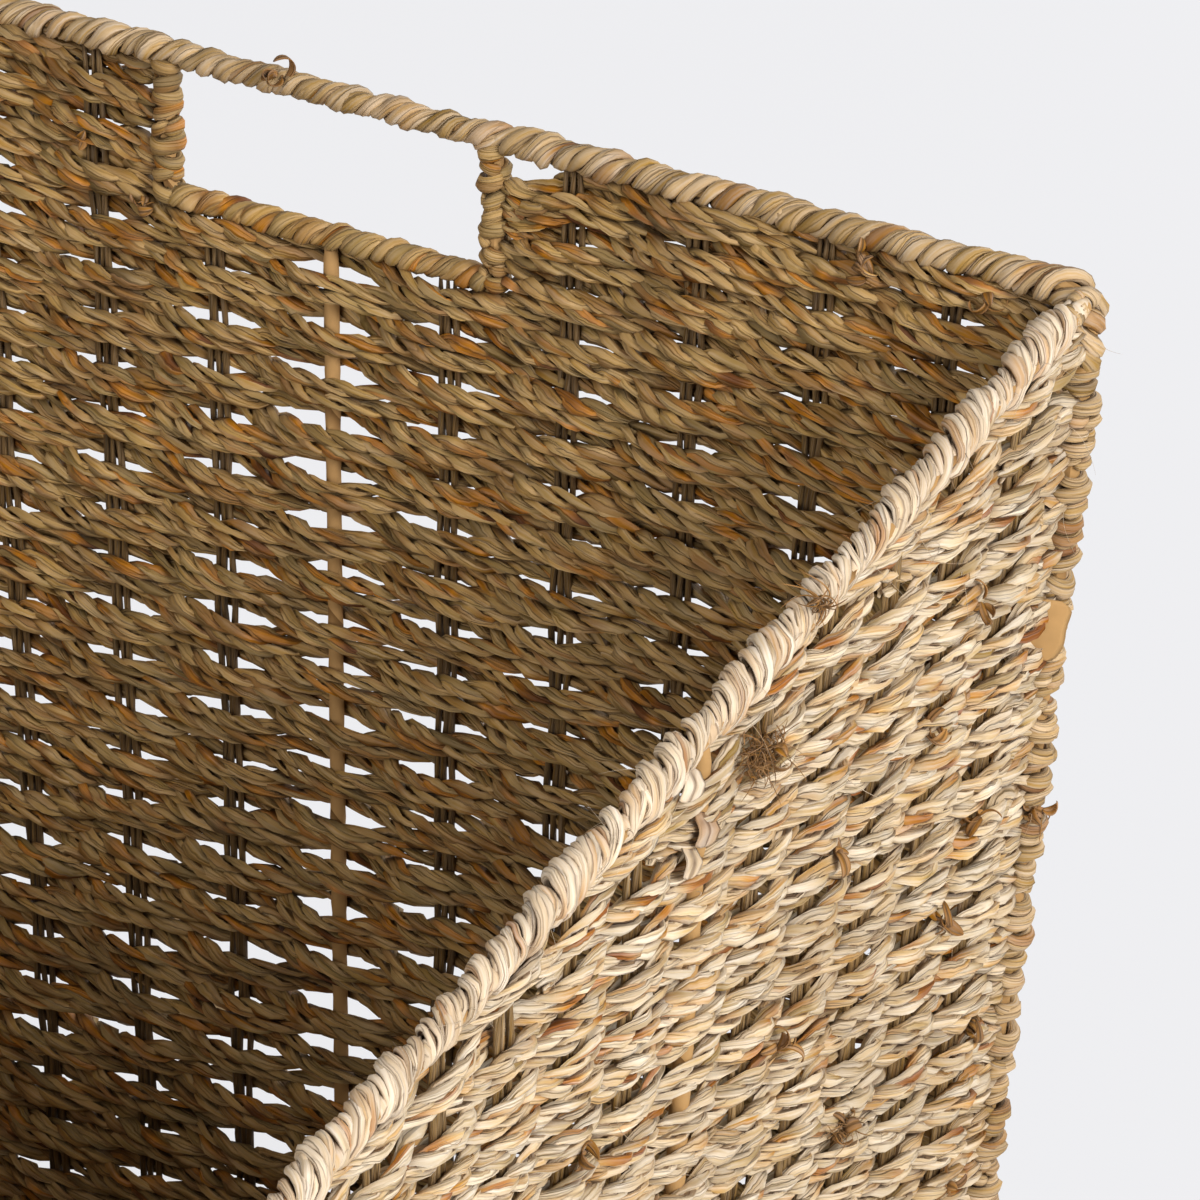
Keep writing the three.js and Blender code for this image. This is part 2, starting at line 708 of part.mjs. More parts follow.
function weaveGroup() {
  const group = new THREE.Group();
  const backFrame = wallFrame(at(0, backY, ringHeight), at(-1, 0, 0), upright);
  group.add(wovenWall('back_weave', backFrame, backOutline(), frontBackBores));
  const frontFrame = wallFrame(at(0, baseFrontY, ringHeight), acrossX, at(0, -frontLean, 1));
  group.add(wovenWall('front_weave', frontFrame, frontOutline(), frontBackBores));
  for (const [side, word] of [[1, 'right'], [-1, 'left']]) {
    const origin = at((side * baseWidth) / 2, 0, ringHeight);
    const frame = wallFrame(origin, at(0, side, 0), at(side * sideLean, 0, 1));
    group.add(wovenWall(`${word}_weave`, frame, sideOutline(side), sideBores));
  }
  group.add(wovenBase('base_weave', [...frontBackBores, ...sideBores]));
  return group;
}

const basket = new THREE.Group();
basket.add(frameGroup(), stakeGroup(), windingGroup(), cornerGroup(), edgeGroup(), weaveGroup());

export default basket;
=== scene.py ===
"""Magazine basket of seagrass: twisted cord woven over stakes, on a frame of taped iron rods.

Shapes are worked out in millimetres and go into the meshes in metres. +Z is up, +Y points to the tall back
wall and +X to the right as seen from the front. Every strand is a tube whose line is laid by formula.
"""

import logging
import math
from abc import ABC, abstractmethod
from dataclasses import dataclass, field
from enum import Enum
from typing import Callable, Iterator

import bmesh
import bpy
import numpy as np
from mathutils import Matrix, Vector


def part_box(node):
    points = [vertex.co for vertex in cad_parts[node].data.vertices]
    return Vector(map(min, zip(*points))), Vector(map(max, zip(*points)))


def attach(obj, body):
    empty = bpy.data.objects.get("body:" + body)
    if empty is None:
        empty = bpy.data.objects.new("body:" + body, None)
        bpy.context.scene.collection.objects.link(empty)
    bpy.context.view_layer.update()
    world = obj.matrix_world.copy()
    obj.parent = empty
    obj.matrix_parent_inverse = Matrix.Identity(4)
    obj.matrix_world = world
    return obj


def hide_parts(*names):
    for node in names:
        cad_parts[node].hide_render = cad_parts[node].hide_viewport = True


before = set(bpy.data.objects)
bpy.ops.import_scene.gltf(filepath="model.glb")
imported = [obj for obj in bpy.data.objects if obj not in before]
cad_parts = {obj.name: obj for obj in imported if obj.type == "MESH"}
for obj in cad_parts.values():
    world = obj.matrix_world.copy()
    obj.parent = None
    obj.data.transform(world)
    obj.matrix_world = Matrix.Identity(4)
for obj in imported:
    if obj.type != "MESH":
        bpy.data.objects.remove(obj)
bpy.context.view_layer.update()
log = logging.getLogger("magazine_basket")

MM = 0.001
BODY = "root"
STRAND_UV = "strand"
MAX_STRAND_SHIFT = 12.0
RING_COUNT_STEP = 8
ARC_STEPS = 9
TURN = 2 * math.pi
WAVE_SHARES = (1.0, 0.61, 0.37)
MM_PER_RADIAN = 10.0
NOISE_SPAN = (0.3, 0.7)
PALE_BACKGROUND = "#f0f0f3"
RIGHTWARD = np.array([1.0, 0.0, 0.0])
BACKWARD = np.array([0.0, 1.0, 0.0])
UPWARD = np.array([0.0, 0.0, 1.0])
Point = tuple[float, float, float]

# The rods' and bends' radii in millimetres, then the spaces between stakes and the side hoop's place
ROD_RADIUS = 2.0
SIDE_HOOP_RADIUS = 2.5
RIM_BEND_RADIUS = 8.0
RING_BEND_RADIUS = 7.0
STAKE_BEND_RADIUS = 11.0
STAKE_SPACES = 12
SIDE_SPACES = 14
SIDE_HOOP_PLACE = 6


class Lay(Enum):
    """Which way a helix turns as it runs away from the eye."""

    RIGHT_HANDED = 1
    LEFT_HANDED = -1


class Slot(Enum):
    """The record's material slots."""

    ROD = "taped_rod"
    STAKE = "stake_seagrass"
    WHIPPING = "whipping_seagrass"
    WEFT = "weft_seagrass"


class Side(Enum):
    """Left and right as seen from the front, as a sign along X."""

    RIGHT = 1
    LEFT = -1

    @property
    def word(self) -> str:
        """The side's name as the CAD nodes write it."""
        return self.name.lower()


def smoothstep(values: np.ndarray) -> np.ndarray:
    """Eases values from 0 to 1, and holds them there beyond.

    Args:
        values: Any numbers.

    Returns:
        The eased numbers, from 0 to 1.
    """
    held = np.clip(values, 0.0, 1.0)
    return held * held * (3.0 - 2.0 * held)


def unit(vectors: np.ndarray) -> np.ndarray:
    """Scales vectors to length one.

    Args:
        vectors: One vector, or several with their coordinates on the last axis.

    Returns:
        The vectors at length one.
    """
    return vectors / np.linalg.norm(vectors, axis=-1, keepdims=True)


@dataclass(frozen=True)
class Drift:
    """A smooth drift along a line, such as a hand-laid strand has.

    `wavelength` is its longest wave in millimetres and `amount` the most that it drifts either way.
    """

    wavelength: float
    amount: float

    def along(self, rng: np.random.Generator, distance: np.ndarray) -> np.ndarray:
        """Gives the drift at distances along the line.

        Args:
            rng: The seeded source of chance.
            distance: The distances in millimetres.

        Returns:
            The drift at each distance.
        """
        total = np.zeros_like(distance)
        for share in WAVE_SHARES:
            length = self.wavelength * share * rng.uniform(0.8, 1.25)
            total = total + share * np.sin(TURN * distance / length + rng.uniform(0.0, TURN))
        return self.amount * total / sum(WAVE_SHARES)


def distances_along(points: np.ndarray) -> np.ndarray:
    """Measures how far each point lies along its line.

    Args:
        points: The points of one line, or of several lines stacked on the first axis.

    Returns:
        The distances from each line's first point.
    """
    steps = np.linalg.norm(np.diff(points, axis=-2), axis=-1)
    return np.concatenate([np.zeros_like(steps[..., :1]), np.cumsum(steps, axis=-1)], axis=-1)


def ring_count(length: float, step: float) -> int:
    """Works out how many rings a strand needs, in round numbers so that strands share a count.

    Args:
        length: The strand's length in millimetres.
        step: The widest step between rings in millimetres.

    Returns:
        The number of rings.
    """
    return RING_COUNT_STEP * max(2, math.ceil(length / step / RING_COUNT_STEP))


def stake_shares(spaces: int, hoop_place: int) -> list[float]:
    """Lists the stakes' places across a panel, without the place that the hoop rod takes.

    Args:
        spaces: How many spaces the panel has.
        hoop_place: The hoop rod's place, counted in spaces.

    Returns:
        The places as shares of the panel's width.
    """
    return [place / spaces for place in range(1, spaces) if place != hoop_place]


def rounded_line(corners: list[Point], radius: float) -> np.ndarray:
    """Joins corners by straight runs, with an arc of one radius at each corner between the ends.

    Args:
        corners: The corner points in millimetres.
        radius: The arcs' radius in millimetres.

    Returns:
        The points of the line.
    """
    places = [np.array(corner, float) for corner in corners]
    points = [places[0]]
    for before, corner, after in zip(places, places[1:], places[2:]):
        back = unit(before - corner)
        onward = unit(after - corner)
        turn = math.acos(float(np.clip(-back @ onward, -1.0, 1.0)))
        centre = corner + unit(back + onward) * radius / math.cos(turn / 2)
        start = corner + back * radius * math.tan(turn / 2) - centre
        end = corner + onward * radius * math.tan(turn / 2) - centre
        for share in np.linspace(0.0, 1.0, ARC_STEPS):
            weights = math.sin((1 - share) * turn), math.sin(share * turn)
            points.append(centre + (weights[0] * start + weights[1] * end) / math.sin(turn))
    points.append(places[-1])
    return np.array(points)


def linear(hex_colour: str) -> tuple[float, float, float, float]:
    """Turns an sRGB hex colour into the linear values that shaders take.

    Args:
        hex_colour: The colour, such as "#d8c39a".

    Returns:
        Red, green, blue and a full alpha.
    """
    channels = [int(hex_colour[place:place + 2], 16) / 255 for place in (1, 3, 5)]
    red, green, blue = (c / 12.92 if c <= 0.04045 else ((c + 0.055) / 1.055) ** 2.4 for c in channels)
    return red, green, blue, 1.0


def add_node(
    tree: bpy.types.NodeTree,
    kind: str,
    inputs: dict | None = None,
    stops: tuple[tuple[float, str], ...] = (),
    **settings: object,
) -> bpy.types.Node:
    """Adds a shader node with its settings, its input values and its links.

    Args:
        tree: The node tree that gets it.
        kind: The node's type name.
        inputs: For an input's name or number, the socket that feeds it or its fixed value.
        stops: For a colour ramp, the place and hex colour of each stop.
        **settings: The node's own properties.

    Returns:
        The new node.
    """
    node = tree.nodes.new(kind)
    for name, value in settings.items():
        setattr(node, name, value)
    for key, value in (inputs or {}).items():
        if isinstance(value, bpy.types.NodeSocket):
            tree.links.new(value, node.inputs[key])
        else:
            node.inputs[key].default_value = value
    for number, (place, hex_colour) in enumerate(stops):
        elements = node.color_ramp.elements
        element = elements[number] if number < len(elements) else elements.new(place)
        element.position = place
        element.color = linear(hex_colour)
    return node


def calculated(tree: bpy.types.NodeTree, operation: str, *values: object,
               clamp: bool = False) -> bpy.types.NodeSocket:
    """Adds a math node.

    Args:
        tree: The node tree that gets it.
        operation: What it does.
        *values: The sockets or numbers that it takes.
        clamp: Whether its result is held between 0 and 1.

    Returns:
        The result's socket.
    """
    return add_node(tree, "ShaderNodeMath", dict(enumerate(values)), operation=operation,
                    use_clamp=clamp).outputs[0]


def mapped(tree: bpy.types.NodeTree, value: bpy.types.NodeSocket, source: tuple[float, float] = (0.0, 1.0),
           target: tuple[float, float] = (0.0, 1.0), **settings: object) -> bpy.types.NodeSocket:
    """Adds a node that maps one range of values to another, and holds the values beyond it.

    Args:
        tree: The node tree that gets it.
        value: The socket with the value.
        source: The range that the value comes from.
        target: The range that it goes to.
        **settings: The node's own properties.

    Returns:
        The result's socket.
    """
    ends = {"From Min": source[0], "From Max": source[1], "To Min": target[0], "To Max": target[1]}
    return add_node(tree, "ShaderNodeMapRange", {"Value": value} | ends, **settings).outputs[0]


def blended(tree: bpy.types.NodeTree, share: bpy.types.NodeSocket, colour: bpy.types.NodeSocket,
            hex_colour: str) -> bpy.types.NodeSocket:
    """Adds a node that blends a fixed colour into the colour so far.

    Args:
        tree: The node tree that gets it.
        share: The socket with the fixed colour's share.
        colour: The colour so far.
        hex_colour: The fixed colour.

    Returns:
        The blended colour's socket.
    """
    return add_node(tree, "ShaderNodeMix", {"Factor": share, 6: colour, 7: linear(hex_colour)},
                    data_type="RGBA").outputs[2]


def noise(tree: bpy.types.NodeTree, vector: bpy.types.NodeSocket, scale: float, detail: float,
          roughness: float = 0.5) -> bpy.types.Node:
    """Adds a noise texture.

    Args:
        tree: The node tree that gets it.
        vector: The socket with the place.
        scale: The noise's scale.
        detail: How many finer layers it has.
        roughness: How strong they are.

    Returns:
        The node.
    """
    return add_node(tree, "ShaderNodeTexNoise",
                    {"Vector": vector, "Scale": scale, "Detail": detail, "Roughness": roughness})


def linked(name: str, data: bpy.types.ID) -> bpy.types.Object:
    """Makes an object and links it to the scene.

    Args:
        name: The object's name.
        data: Its mesh, camera or light.

    Returns:
        The object.
    """
    made = bpy.data.objects.new(name, data)
    bpy.context.scene.collection.objects.link(made)
    return made


def new_tree(name: str) -> tuple[bpy.types.Material, bpy.types.NodeTree, bpy.types.Node]:
    """Makes an empty node material.

    Args:
        name: The material's name.

    Returns:
        The material, its node tree and its output node.
    """
    material = bpy.data.materials.new(name)
    material.use_nodes = True
    material.node_tree.nodes.clear()
    return material, material.node_tree, add_node(material.node_tree, "ShaderNodeOutputMaterial")


@dataclass(frozen=True)
class SeagrassLeaf:
    """Dried seagrass leaf, twisted into strands: satin straw with fine length-wise veins, with painted shade
    in the folds between leaves and in the crevices between strands.

    The strand's UV map gives the place: U counts the leaves round it and V runs along it in metres.
    """

    name: str
    tints: tuple[tuple[float, str], ...]
    stain: str = "#8a6a3c"
    # The colour of the painted shade in folds and crevices, and the hairlines' own colour
    fold: str = "#4a3317"
    leaf_length: float = 26.0
    leaf_spacing: float = 7.31
    vein_length: float = 16.0
    veins_per_leaf: float = 6.0
    dark_warmth: float = 1.3
    light_warmth: float = 0.68
    hairline_length: float = 20.0
    hairlines_per_leaf: float = 2.6
    hairline_width: float = 0.035
    hairline_shade: float = 0.38
    blotch_size: float = 55.0
    fold_shade: float = 0.7
    stain_share: float = 0.3
    # How far and how strongly shade is painted into the crevices between strands
    crevice_reach: float = 2.6
    crevice_shade: float = 0.64
    roughness: float = 0.62
    bump_height: float = 0.3
    tint_span: tuple[float, float] = (0.26, 0.72)
    shade_range: tuple[float, float] = (0.84, 1.1)
    stain_span: tuple[float, float] = (0.5, 0.78)
    crevice_span: tuple[float, float] = (0.17, 0.77)
    fold_widths: tuple[float, float] = (0.12, 0.02)

    def material(self) -> bpy.types.Material:
        """Builds the leaf's material: one tint a leaf, veins along it, painted shade in the folds between
        leaves, stains, and painted shade in the crevices between strands.
        """
        material, tree, output = new_tree(self.name)
        place = add_node(tree, "ShaderNodeUVMap", uv_map=STRAND_UV)
        split = add_node(tree, "ShaderNodeSeparateXYZ", {0: place.outputs["UV"]})
        leaf = calculated(tree, "FLOOR", split.outputs["X"])
        lengths = calculated(tree, "MULTIPLY", split.outputs["Y"], 1 / (self.leaf_length * MM))
        apart = calculated(tree, "MULTIPLY", leaf, self.leaf_spacing)
        which = add_node(tree, "ShaderNodeCombineXYZ", {"X": apart, "Y": lengths})
        chance = noise(tree, which.outputs[0], 1.0, 1.0)
        spread = mapped(tree, chance.outputs["Fac"], self.tint_span)
        tint = add_node(tree, "ShaderNodeValToRGB", {"Fac": spread}, stops=self.tints)
        shades = add_node(tree, "ShaderNodeSeparateColor", {"Color": chance.outputs["Color"]})
        level = mapped(tree, shades.outputs["Green"], NOISE_SPAN, self.shade_range)
        shaded = add_node(tree, "ShaderNodeHueSaturation", {"Color": tint.outputs["Color"], "Value": level})
        veins = self.drawn_out(tree, split, self.veins_per_leaf, self.vein_length, 3.0, 0.62)
        veined_level = mapped(tree, veins, NOISE_SPAN, self.shade_range)
        warmth = mapped(tree, veins, NOISE_SPAN, (self.dark_warmth, self.light_warmth))
        veined = add_node(tree, "ShaderNodeHueSaturation",
                          {"Color": shaded.outputs[0], "Value": veined_level, "Saturation": warmth})
        stained = self.stained(tree, veined.outputs[0])
        fold = self.folds(tree, split, veins)
        hairlines = self.hairlines(tree, split)
        line_share = calculated(tree, "MULTIPLY", hairlines, self.hairline_shade)
        # Painted shade in the folds, and the hairlines' own dark marks, blend towards the fold colour
        fold_share = calculated(tree, "MULTIPLY_ADD", fold, self.fold_shade, line_share, clamp=True)
        coloured = blended(tree, fold_share, stained, self.fold)
        # Painted shade in the crevices between strands
        painted_crevice_shade = self.painted_crevice_shade(tree, coloured)
        creased = calculated(tree, "SUBTRACT", veins, fold)
        height = calculated(tree, "SUBTRACT", creased, hairlines)
        bump = add_node(tree, "ShaderNodeBump",
                        {"Height": height, "Strength": 0.75, "Distance": self.bump_height * MM})
        gloss = mapped(tree, veins, target=(self.roughness - 0.1, self.roughness + 0.14))
        shader = add_node(tree, "ShaderNodeBsdfPrincipled",
                          {"Base Color": painted_crevice_shade, "Roughness": gloss, "Normal": bump.outputs[0],
                           "IOR": 1.45, "Specular IOR Level": 0.42})
        tree.links.new(shader.outputs[0], output.inputs["Surface"])
        return material

    def painted_crevice_shade(self, tree: bpy.types.NodeTree, colour: bpy.types.NodeSocket) -> bpy.types.NodeSocket:
        """Paints shade into the crevices between strands: where an ambient occlusion node finds other
        surfaces close by, the colour is blended towards the fold colour.

        Args:
            tree: The material's node tree.
            colour: The colour so far.

        Returns:
            The browned colour.
        """
        nearness = add_node(tree, "ShaderNodeAmbientOcclusion", {"Distance": self.crevice_reach * MM},
                            samples=4)
        share = mapped(tree, nearness.outputs["AO"], self.crevice_span, (self.crevice_shade, 0.0))
        return blended(tree, share, colour, self.fold)

    def drawn_out(self, tree: bpy.types.NodeTree, split: bpy.types.Node, per_leaf: float, length: float,
                  detail: float, roughness: float = 0.5, shift: float = 0.0) -> bpy.types.NodeSocket:
        """Adds noise drawn out along the strand, as veins and hairlines are.

        Args:
            tree: The material's node tree.
            split: The node that gives U and V.
            per_leaf: How often it changes across a leaf.
            length: How far it is drawn out, in millimetres.
            detail: How many finer layers it has.
            roughness: How strong they are.
            shift: What sets it apart from other noise at the same place.

        Returns:
            The noise.
        """
        across = calculated(tree, "MULTIPLY", split.outputs["X"], per_leaf)
        along = calculated(tree, "MULTIPLY", split.outputs["Y"], 1 / (length * MM))
        place = add_node(tree, "ShaderNodeCombineXYZ", {"X": across, "Y": along, "Z": shift})
        return noise(tree, place.outputs[0], 1.0, detail, roughness).outputs["Fac"]

    def hairlines(self, tree: bpy.types.NodeTree, split: bpy.types.Node) -> bpy.types.NodeSocket:
        """Adds thin broken lines along the leaf.

        Args:
            tree: The material's node tree.
            split: The node that gives U and V.

        Returns:
            A value that is 1 on a line.
        """
        lines = self.drawn_out(tree, split, self.hairlines_per_leaf, self.hairline_length, 1.0, shift=3.7)
        from_line = calculated(tree, "ABSOLUTE", calculated(tree, "SUBTRACT", lines, 0.5))
        return mapped(tree, from_line, (0.0, self.hairline_width), (1.0, 0.0))

    def stained(self, tree: bpy.types.NodeTree, colour: bpy.types.NodeSocket) -> bpy.types.NodeSocket:
        """Adds brown stains in blotches over many strands.

        Args:
            tree: The material's node tree.
            colour: The colour so far.

        Returns:
            The stained colour.
        """
        place = add_node(tree, "ShaderNodeTexCoord")
        blotch = noise(tree, place.outputs["Object"], 1 / (self.blotch_size * MM), 2.0)
        share = mapped(tree, blotch.outputs["Fac"], self.stain_span, (0.0, self.stain_share))
        return blended(tree, share, colour, self.stain)

    def folds(self, tree: bpy.types.NodeTree, split: bpy.types.Node,
              veins: bpy.types.NodeSocket) -> bpy.types.NodeSocket:
        """Adds the painted shade in the folds between a strand's leaves.

        Args:
            tree: The material's node tree.
            split: The node that gives U and V.
            veins: The vein noise, which makes the folds uneven.

        Returns:
            A value that is 1 in the fold.
        """
        share = calculated(tree, "FRACT", calculated(tree, "ADD", split.outputs["X"], 0.5))
        gap = calculated(tree, "ABSOLUTE", calculated(tree, "SUBTRACT", share, 0.5))
        width = mapped(tree, veins, (0.35, 0.65), self.fold_widths)
        ratio = calculated(tree, "DIVIDE", gap, width)
        return mapped(tree, ratio, target=(1.0, 0.0), interpolation_type="SMOOTHSTEP")


@dataclass(frozen=True)
class PaperTape:
    """Kraft paper tape wound on iron rod: matt brown, with a darker line where its turns overlap."""

    name: str = "kraft paper tape"
    colour: str = "#a98352"
    edge: str = "#6b4a24"
    tape_step: float = 14.0
    wave_divisor: float = 6.3
    roughness: float = 0.8

    def material(self) -> bpy.types.Material:
        """Builds the tape's material: mottled paper with overlap lines all along the rod."""
        material, tree, output = new_tree(self.name)
        place = add_node(tree, "ShaderNodeTexCoord").outputs["Object"]
        mottle = noise(tree, place, 180.0, 5.0)
        lines = add_node(tree, "ShaderNodeTexWave",
                         {"Vector": place, "Scale": 1 / (self.tape_step * MM) / self.wave_divisor,
                          "Distortion": 0.6, "Detail": 1.0},
                         wave_type="BANDS", bands_direction="DIAGONAL", wave_profile="SAW")
        edge = mapped(tree, lines.outputs["Fac"], (0.9, 1.0))
        level = mapped(tree, mottle.outputs["Fac"], target=(0.8, 1.18))
        base = add_node(tree, "ShaderNodeHueSaturation", {"Color": linear(self.colour), "Value": level})
        coloured = blended(tree, edge, base.outputs[0], self.edge)
        bump = add_node(tree, "ShaderNodeBump",
                        {"Height": lines.outputs["Fac"], "Strength": 0.5, "Distance": 0.2 * MM})
        shader = add_node(tree, "ShaderNodeBsdfPrincipled",
                          {"Base Color": coloured, "Roughness": self.roughness,
                           "Normal": bump.outputs[0], "Specular IOR Level": 0.3})
        tree.links.new(shader.outputs[0], output.inputs["Surface"])
        return material


@dataclass(frozen=True)
class StudioPaper:
    """Pale seamless paper under the basket: matt white that stays pale to the eye and keeps the shadow."""

    name: str = "pale studio paper"
    diffuse: str = "#e6e6e6"
    seen: str = PALE_BACKGROUND
    seen_share: float = 0.86

    def material(self) -> bpy.types.Material:
        """Builds the paper's material: mostly its own pale tone to the camera, plain white to the light."""
        material, tree, output = new_tree(self.name)
        paper = add_node(tree, "ShaderNodeBsdfDiffuse", {"Color": linear(self.diffuse)})
        tone = add_node(tree, "ShaderNodeEmission", {"Color": linear(self.seen), "Strength": 1.0})
        path = add_node(tree, "ShaderNodeLightPath")
        direct = calculated(tree, "MAXIMUM", path.outputs["Is Camera Ray"], path.outputs["Is Glossy Ray"])
        shown = calculated(tree, "MAXIMUM", direct, path.outputs["Is Transmission Ray"])
        share = calculated(tree, "MULTIPLY", shown, self.seen_share)
        mixed = add_node(tree, "ShaderNodeMixShader",
                         {"Fac": share, 1: paper.outputs[0], 2: tone.outputs[0]})
        tree.links.new(mixed.outputs[0], output.inputs["Surface"])
        return material


# The outside walls: cream and straw leaves, with some olive, amber and rusty brown ones among them
WEFT_LEAF = SeagrassLeaf(
    name="twisted seagrass cord",
    tints=((0.0, "#9a7f50"), (0.1, "#c2a77c"), (0.36, "#d9c7ac"), (0.64, "#d0b48b"), (0.8, "#c49b69"),
           (0.91, "#b27a45"), (1.0, "#925623")),
    fold="#4c2604",
    hairlines_per_leaf=2.2,
    hairline_shade=0.16,
    fold_shade=0.3,
    crevice_shade=0.78,
)

# The back wall's cords: olive, amber and brown leaves, darker partly in their own tone and partly as painted
# shade for the wall's shaded inside
BACK_LEAF_AND_PAINTED_SHADE = SeagrassLeaf(
    name="twisted seagrass cord darker bundle",
    tints=((0.0, "#776038"), (0.2, "#9c8050"), (0.5, "#b9955f"), (0.7, "#946c3c"), (0.86, "#bb7c33"),
           (1.0, "#6c3f1a")),
    stain="#503212",
    fold="#2e1804",
    dark_warmth=1.16,
    light_warmth=0.86,
    blotch_size=42.0,
    stain_share=0.5,
    hairlines_per_leaf=2.2,
    hairline_shade=0.14,
    fold_shade=0.4,
    crevice_shade=0.74,
)

# The back rim, the corners and the slanted rims' upper ends: tan leaf, paler than the back wall; on the back
# rim the tan is the leaf's own tone, on the corners and the upper ends it is painted shade
RIM_LEAF_AND_PAINTED_CORNER_SHADE = SeagrassLeaf(
    name="whipped seagrass leaf tan",
    tints=((0.0, "#7d6238"), (0.3, "#ab8c5e"), (0.65, "#c6a880"), (0.86, "#a67d50"), (1.0, "#7f532a")),
    fold="#381e06",
    leaf_length=30.0,
    hairlines_per_leaf=2.2,
    hairline_shade=0.16,
    fold_shade=0.5,
    stain_share=0.45,
    crevice_shade=0.86,
)

# The slanted and front rims: the palest leaf, with painted shade in the folds that part its bunches
WHIPPING_LEAF = SeagrassLeaf(
    name="whipped seagrass leaf",
    tints=((0.0, "#ab906a"), (0.22, "#d6c2a8"), (0.55, "#d2bb9d"), (0.8, "#c3a17c"), (1.0, "#ab7b52")),
    crevice_shade=0.9,
    fold="#422205",
    leaf_length=30.0,
    hairlines_per_leaf=2.2,
    hairline_shade=0.22,
    fold_shade=0.55,
)

# The side stakes: pale strands darkened to dull brown as painted shade in the recesses between the rows
STAKE_LEAF_AND_PAINTED_SHADE = SeagrassLeaf(
    name="bundled seagrass stake",
    tints=((0.0, "#664c28"), (0.4, "#8a6d43"), (0.75, "#9d8055"), (1.0, "#735229")),
    fold="#40230a",
    leaf_length=60.0,
    vein_length=34.0,
)

# The stakes of the back and front are as brown as the back's cords, whose darkness is partly painted shade
BROWN_STAKE_LEAF = SeagrassLeaf(
    name="bundled seagrass stake brown",
    tints=((0.0, "#4b381c"), (0.4, "#684e2c"), (0.75, "#7b6039"), (1.0, "#5e4220")),
    leaf_length=60.0,
    vein_length=34.0,
)

# Frayed and curled ends: dry brown fibre that stands out against the pale wall
DRY_FIBRE = SeagrassLeaf(
    name="dry seagrass fibre",
    tints=((0.0, "#6e4a26"), (0.4, "#8a6134"), (0.8, "#b07f45"), (1.0, "#cda874")),
    leaf_length=30.0,
    roughness=0.75,
)


@dataclass(frozen=True)
class BasketShape:
    """The basket's leading sizes in millimetres, read from the CAD rods' boxes."""

    back_y: float
    rim_height: float
    rim_half_width: float
    front_rim_height: float
    front_rim_y: float
    ring_half_width: float
    ring_back_y: float
    ring_front_y: float
    ring_height: float
    post_x: float
    sill_height: float

    @classmethod
    def from_frame(cls) -> "BasketShape":
        """Reads the sizes from the rods' boxes."""
        _, frame_high = (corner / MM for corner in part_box("back_frame_rod"))
        front_low, _ = (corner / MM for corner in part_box("front_rim_rod"))
        ring_low, ring_high = (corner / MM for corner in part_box("base_ring_rod"))
        handle_low, handle_high = (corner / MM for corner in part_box("handle_rod"))
        return cls(
            back_y=(handle_low.y + handle_high.y) / 2,
            rim_height=frame_high.z - ROD_RADIUS,
            rim_half_width=frame_high.x - ROD_RADIUS,
            front_rim_height=front_low.z + ROD_RADIUS,
            front_rim_y=front_low.y + ROD_RADIUS,
            ring_half_width=ring_high.x - ROD_RADIUS,
            ring_back_y=ring_high.y - ROD_RADIUS,
            ring_front_y=ring_low.y + ROD_RADIUS,
            ring_height=(ring_low.z + ring_high.z) / 2,
            post_x=handle_high.x - ROD_RADIUS,
            sill_height=handle_low.z + ROD_RADIUS,
        )

    @property
    def side_lean(self) -> float:
        """How far a side wall leans out for each millimetre of height."""
        inset = self.ring_back_y - self.back_y
        return (self.rim_half_width - self.ring_half_width + inset) / (self.rim_height - self.ring_height)

    @property
    def front_lean(self) -> float:
        """How far the front wall leans out for each millimetre of height."""
        inset = self.ring_back_y - self.back_y
        return (self.ring_front_y + inset - self.front_rim_y) / (self.front_rim_height - self.ring_height)

    @property
    def rim_slope(self) -> float:
        """How far the side rims fall for each millimetre towards the front."""
        return (self.rim_height - self.front_rim_height) / (self.back_y - self.front_rim_y)

    def half_width(self, height: float | np.ndarray) -> float | np.ndarray:
        """Half the width between the side walls' middles at a height."""
        return self.rim_half_width - self.side_lean * (self.rim_height - height)

    def front_y(self, height: float | np.ndarray) -> float | np.ndarray:
        """The front wall's middle at a height."""
        return self.front_rim_y + self.front_lean * (self.front_rim_height - height)

    def depth(self, height: float | np.ndarray) -> float | np.ndarray:
        """The depth between the back and front walls' middles at a height."""
        return self.back_y - self.front_y(height)

    def rim_height_at(self, forward: float | np.ndarray) -> float | np.ndarray:
        """The side rims' height at a distance in front of the back wall."""
        return self.rim_height - self.rim_slope * forward

    def rim_normal(self) -> np.ndarray:
        """The direction square to both side rims and the front rim, upwards."""
        return unit(np.array([0.0, -self.rim_slope, 1.0]))


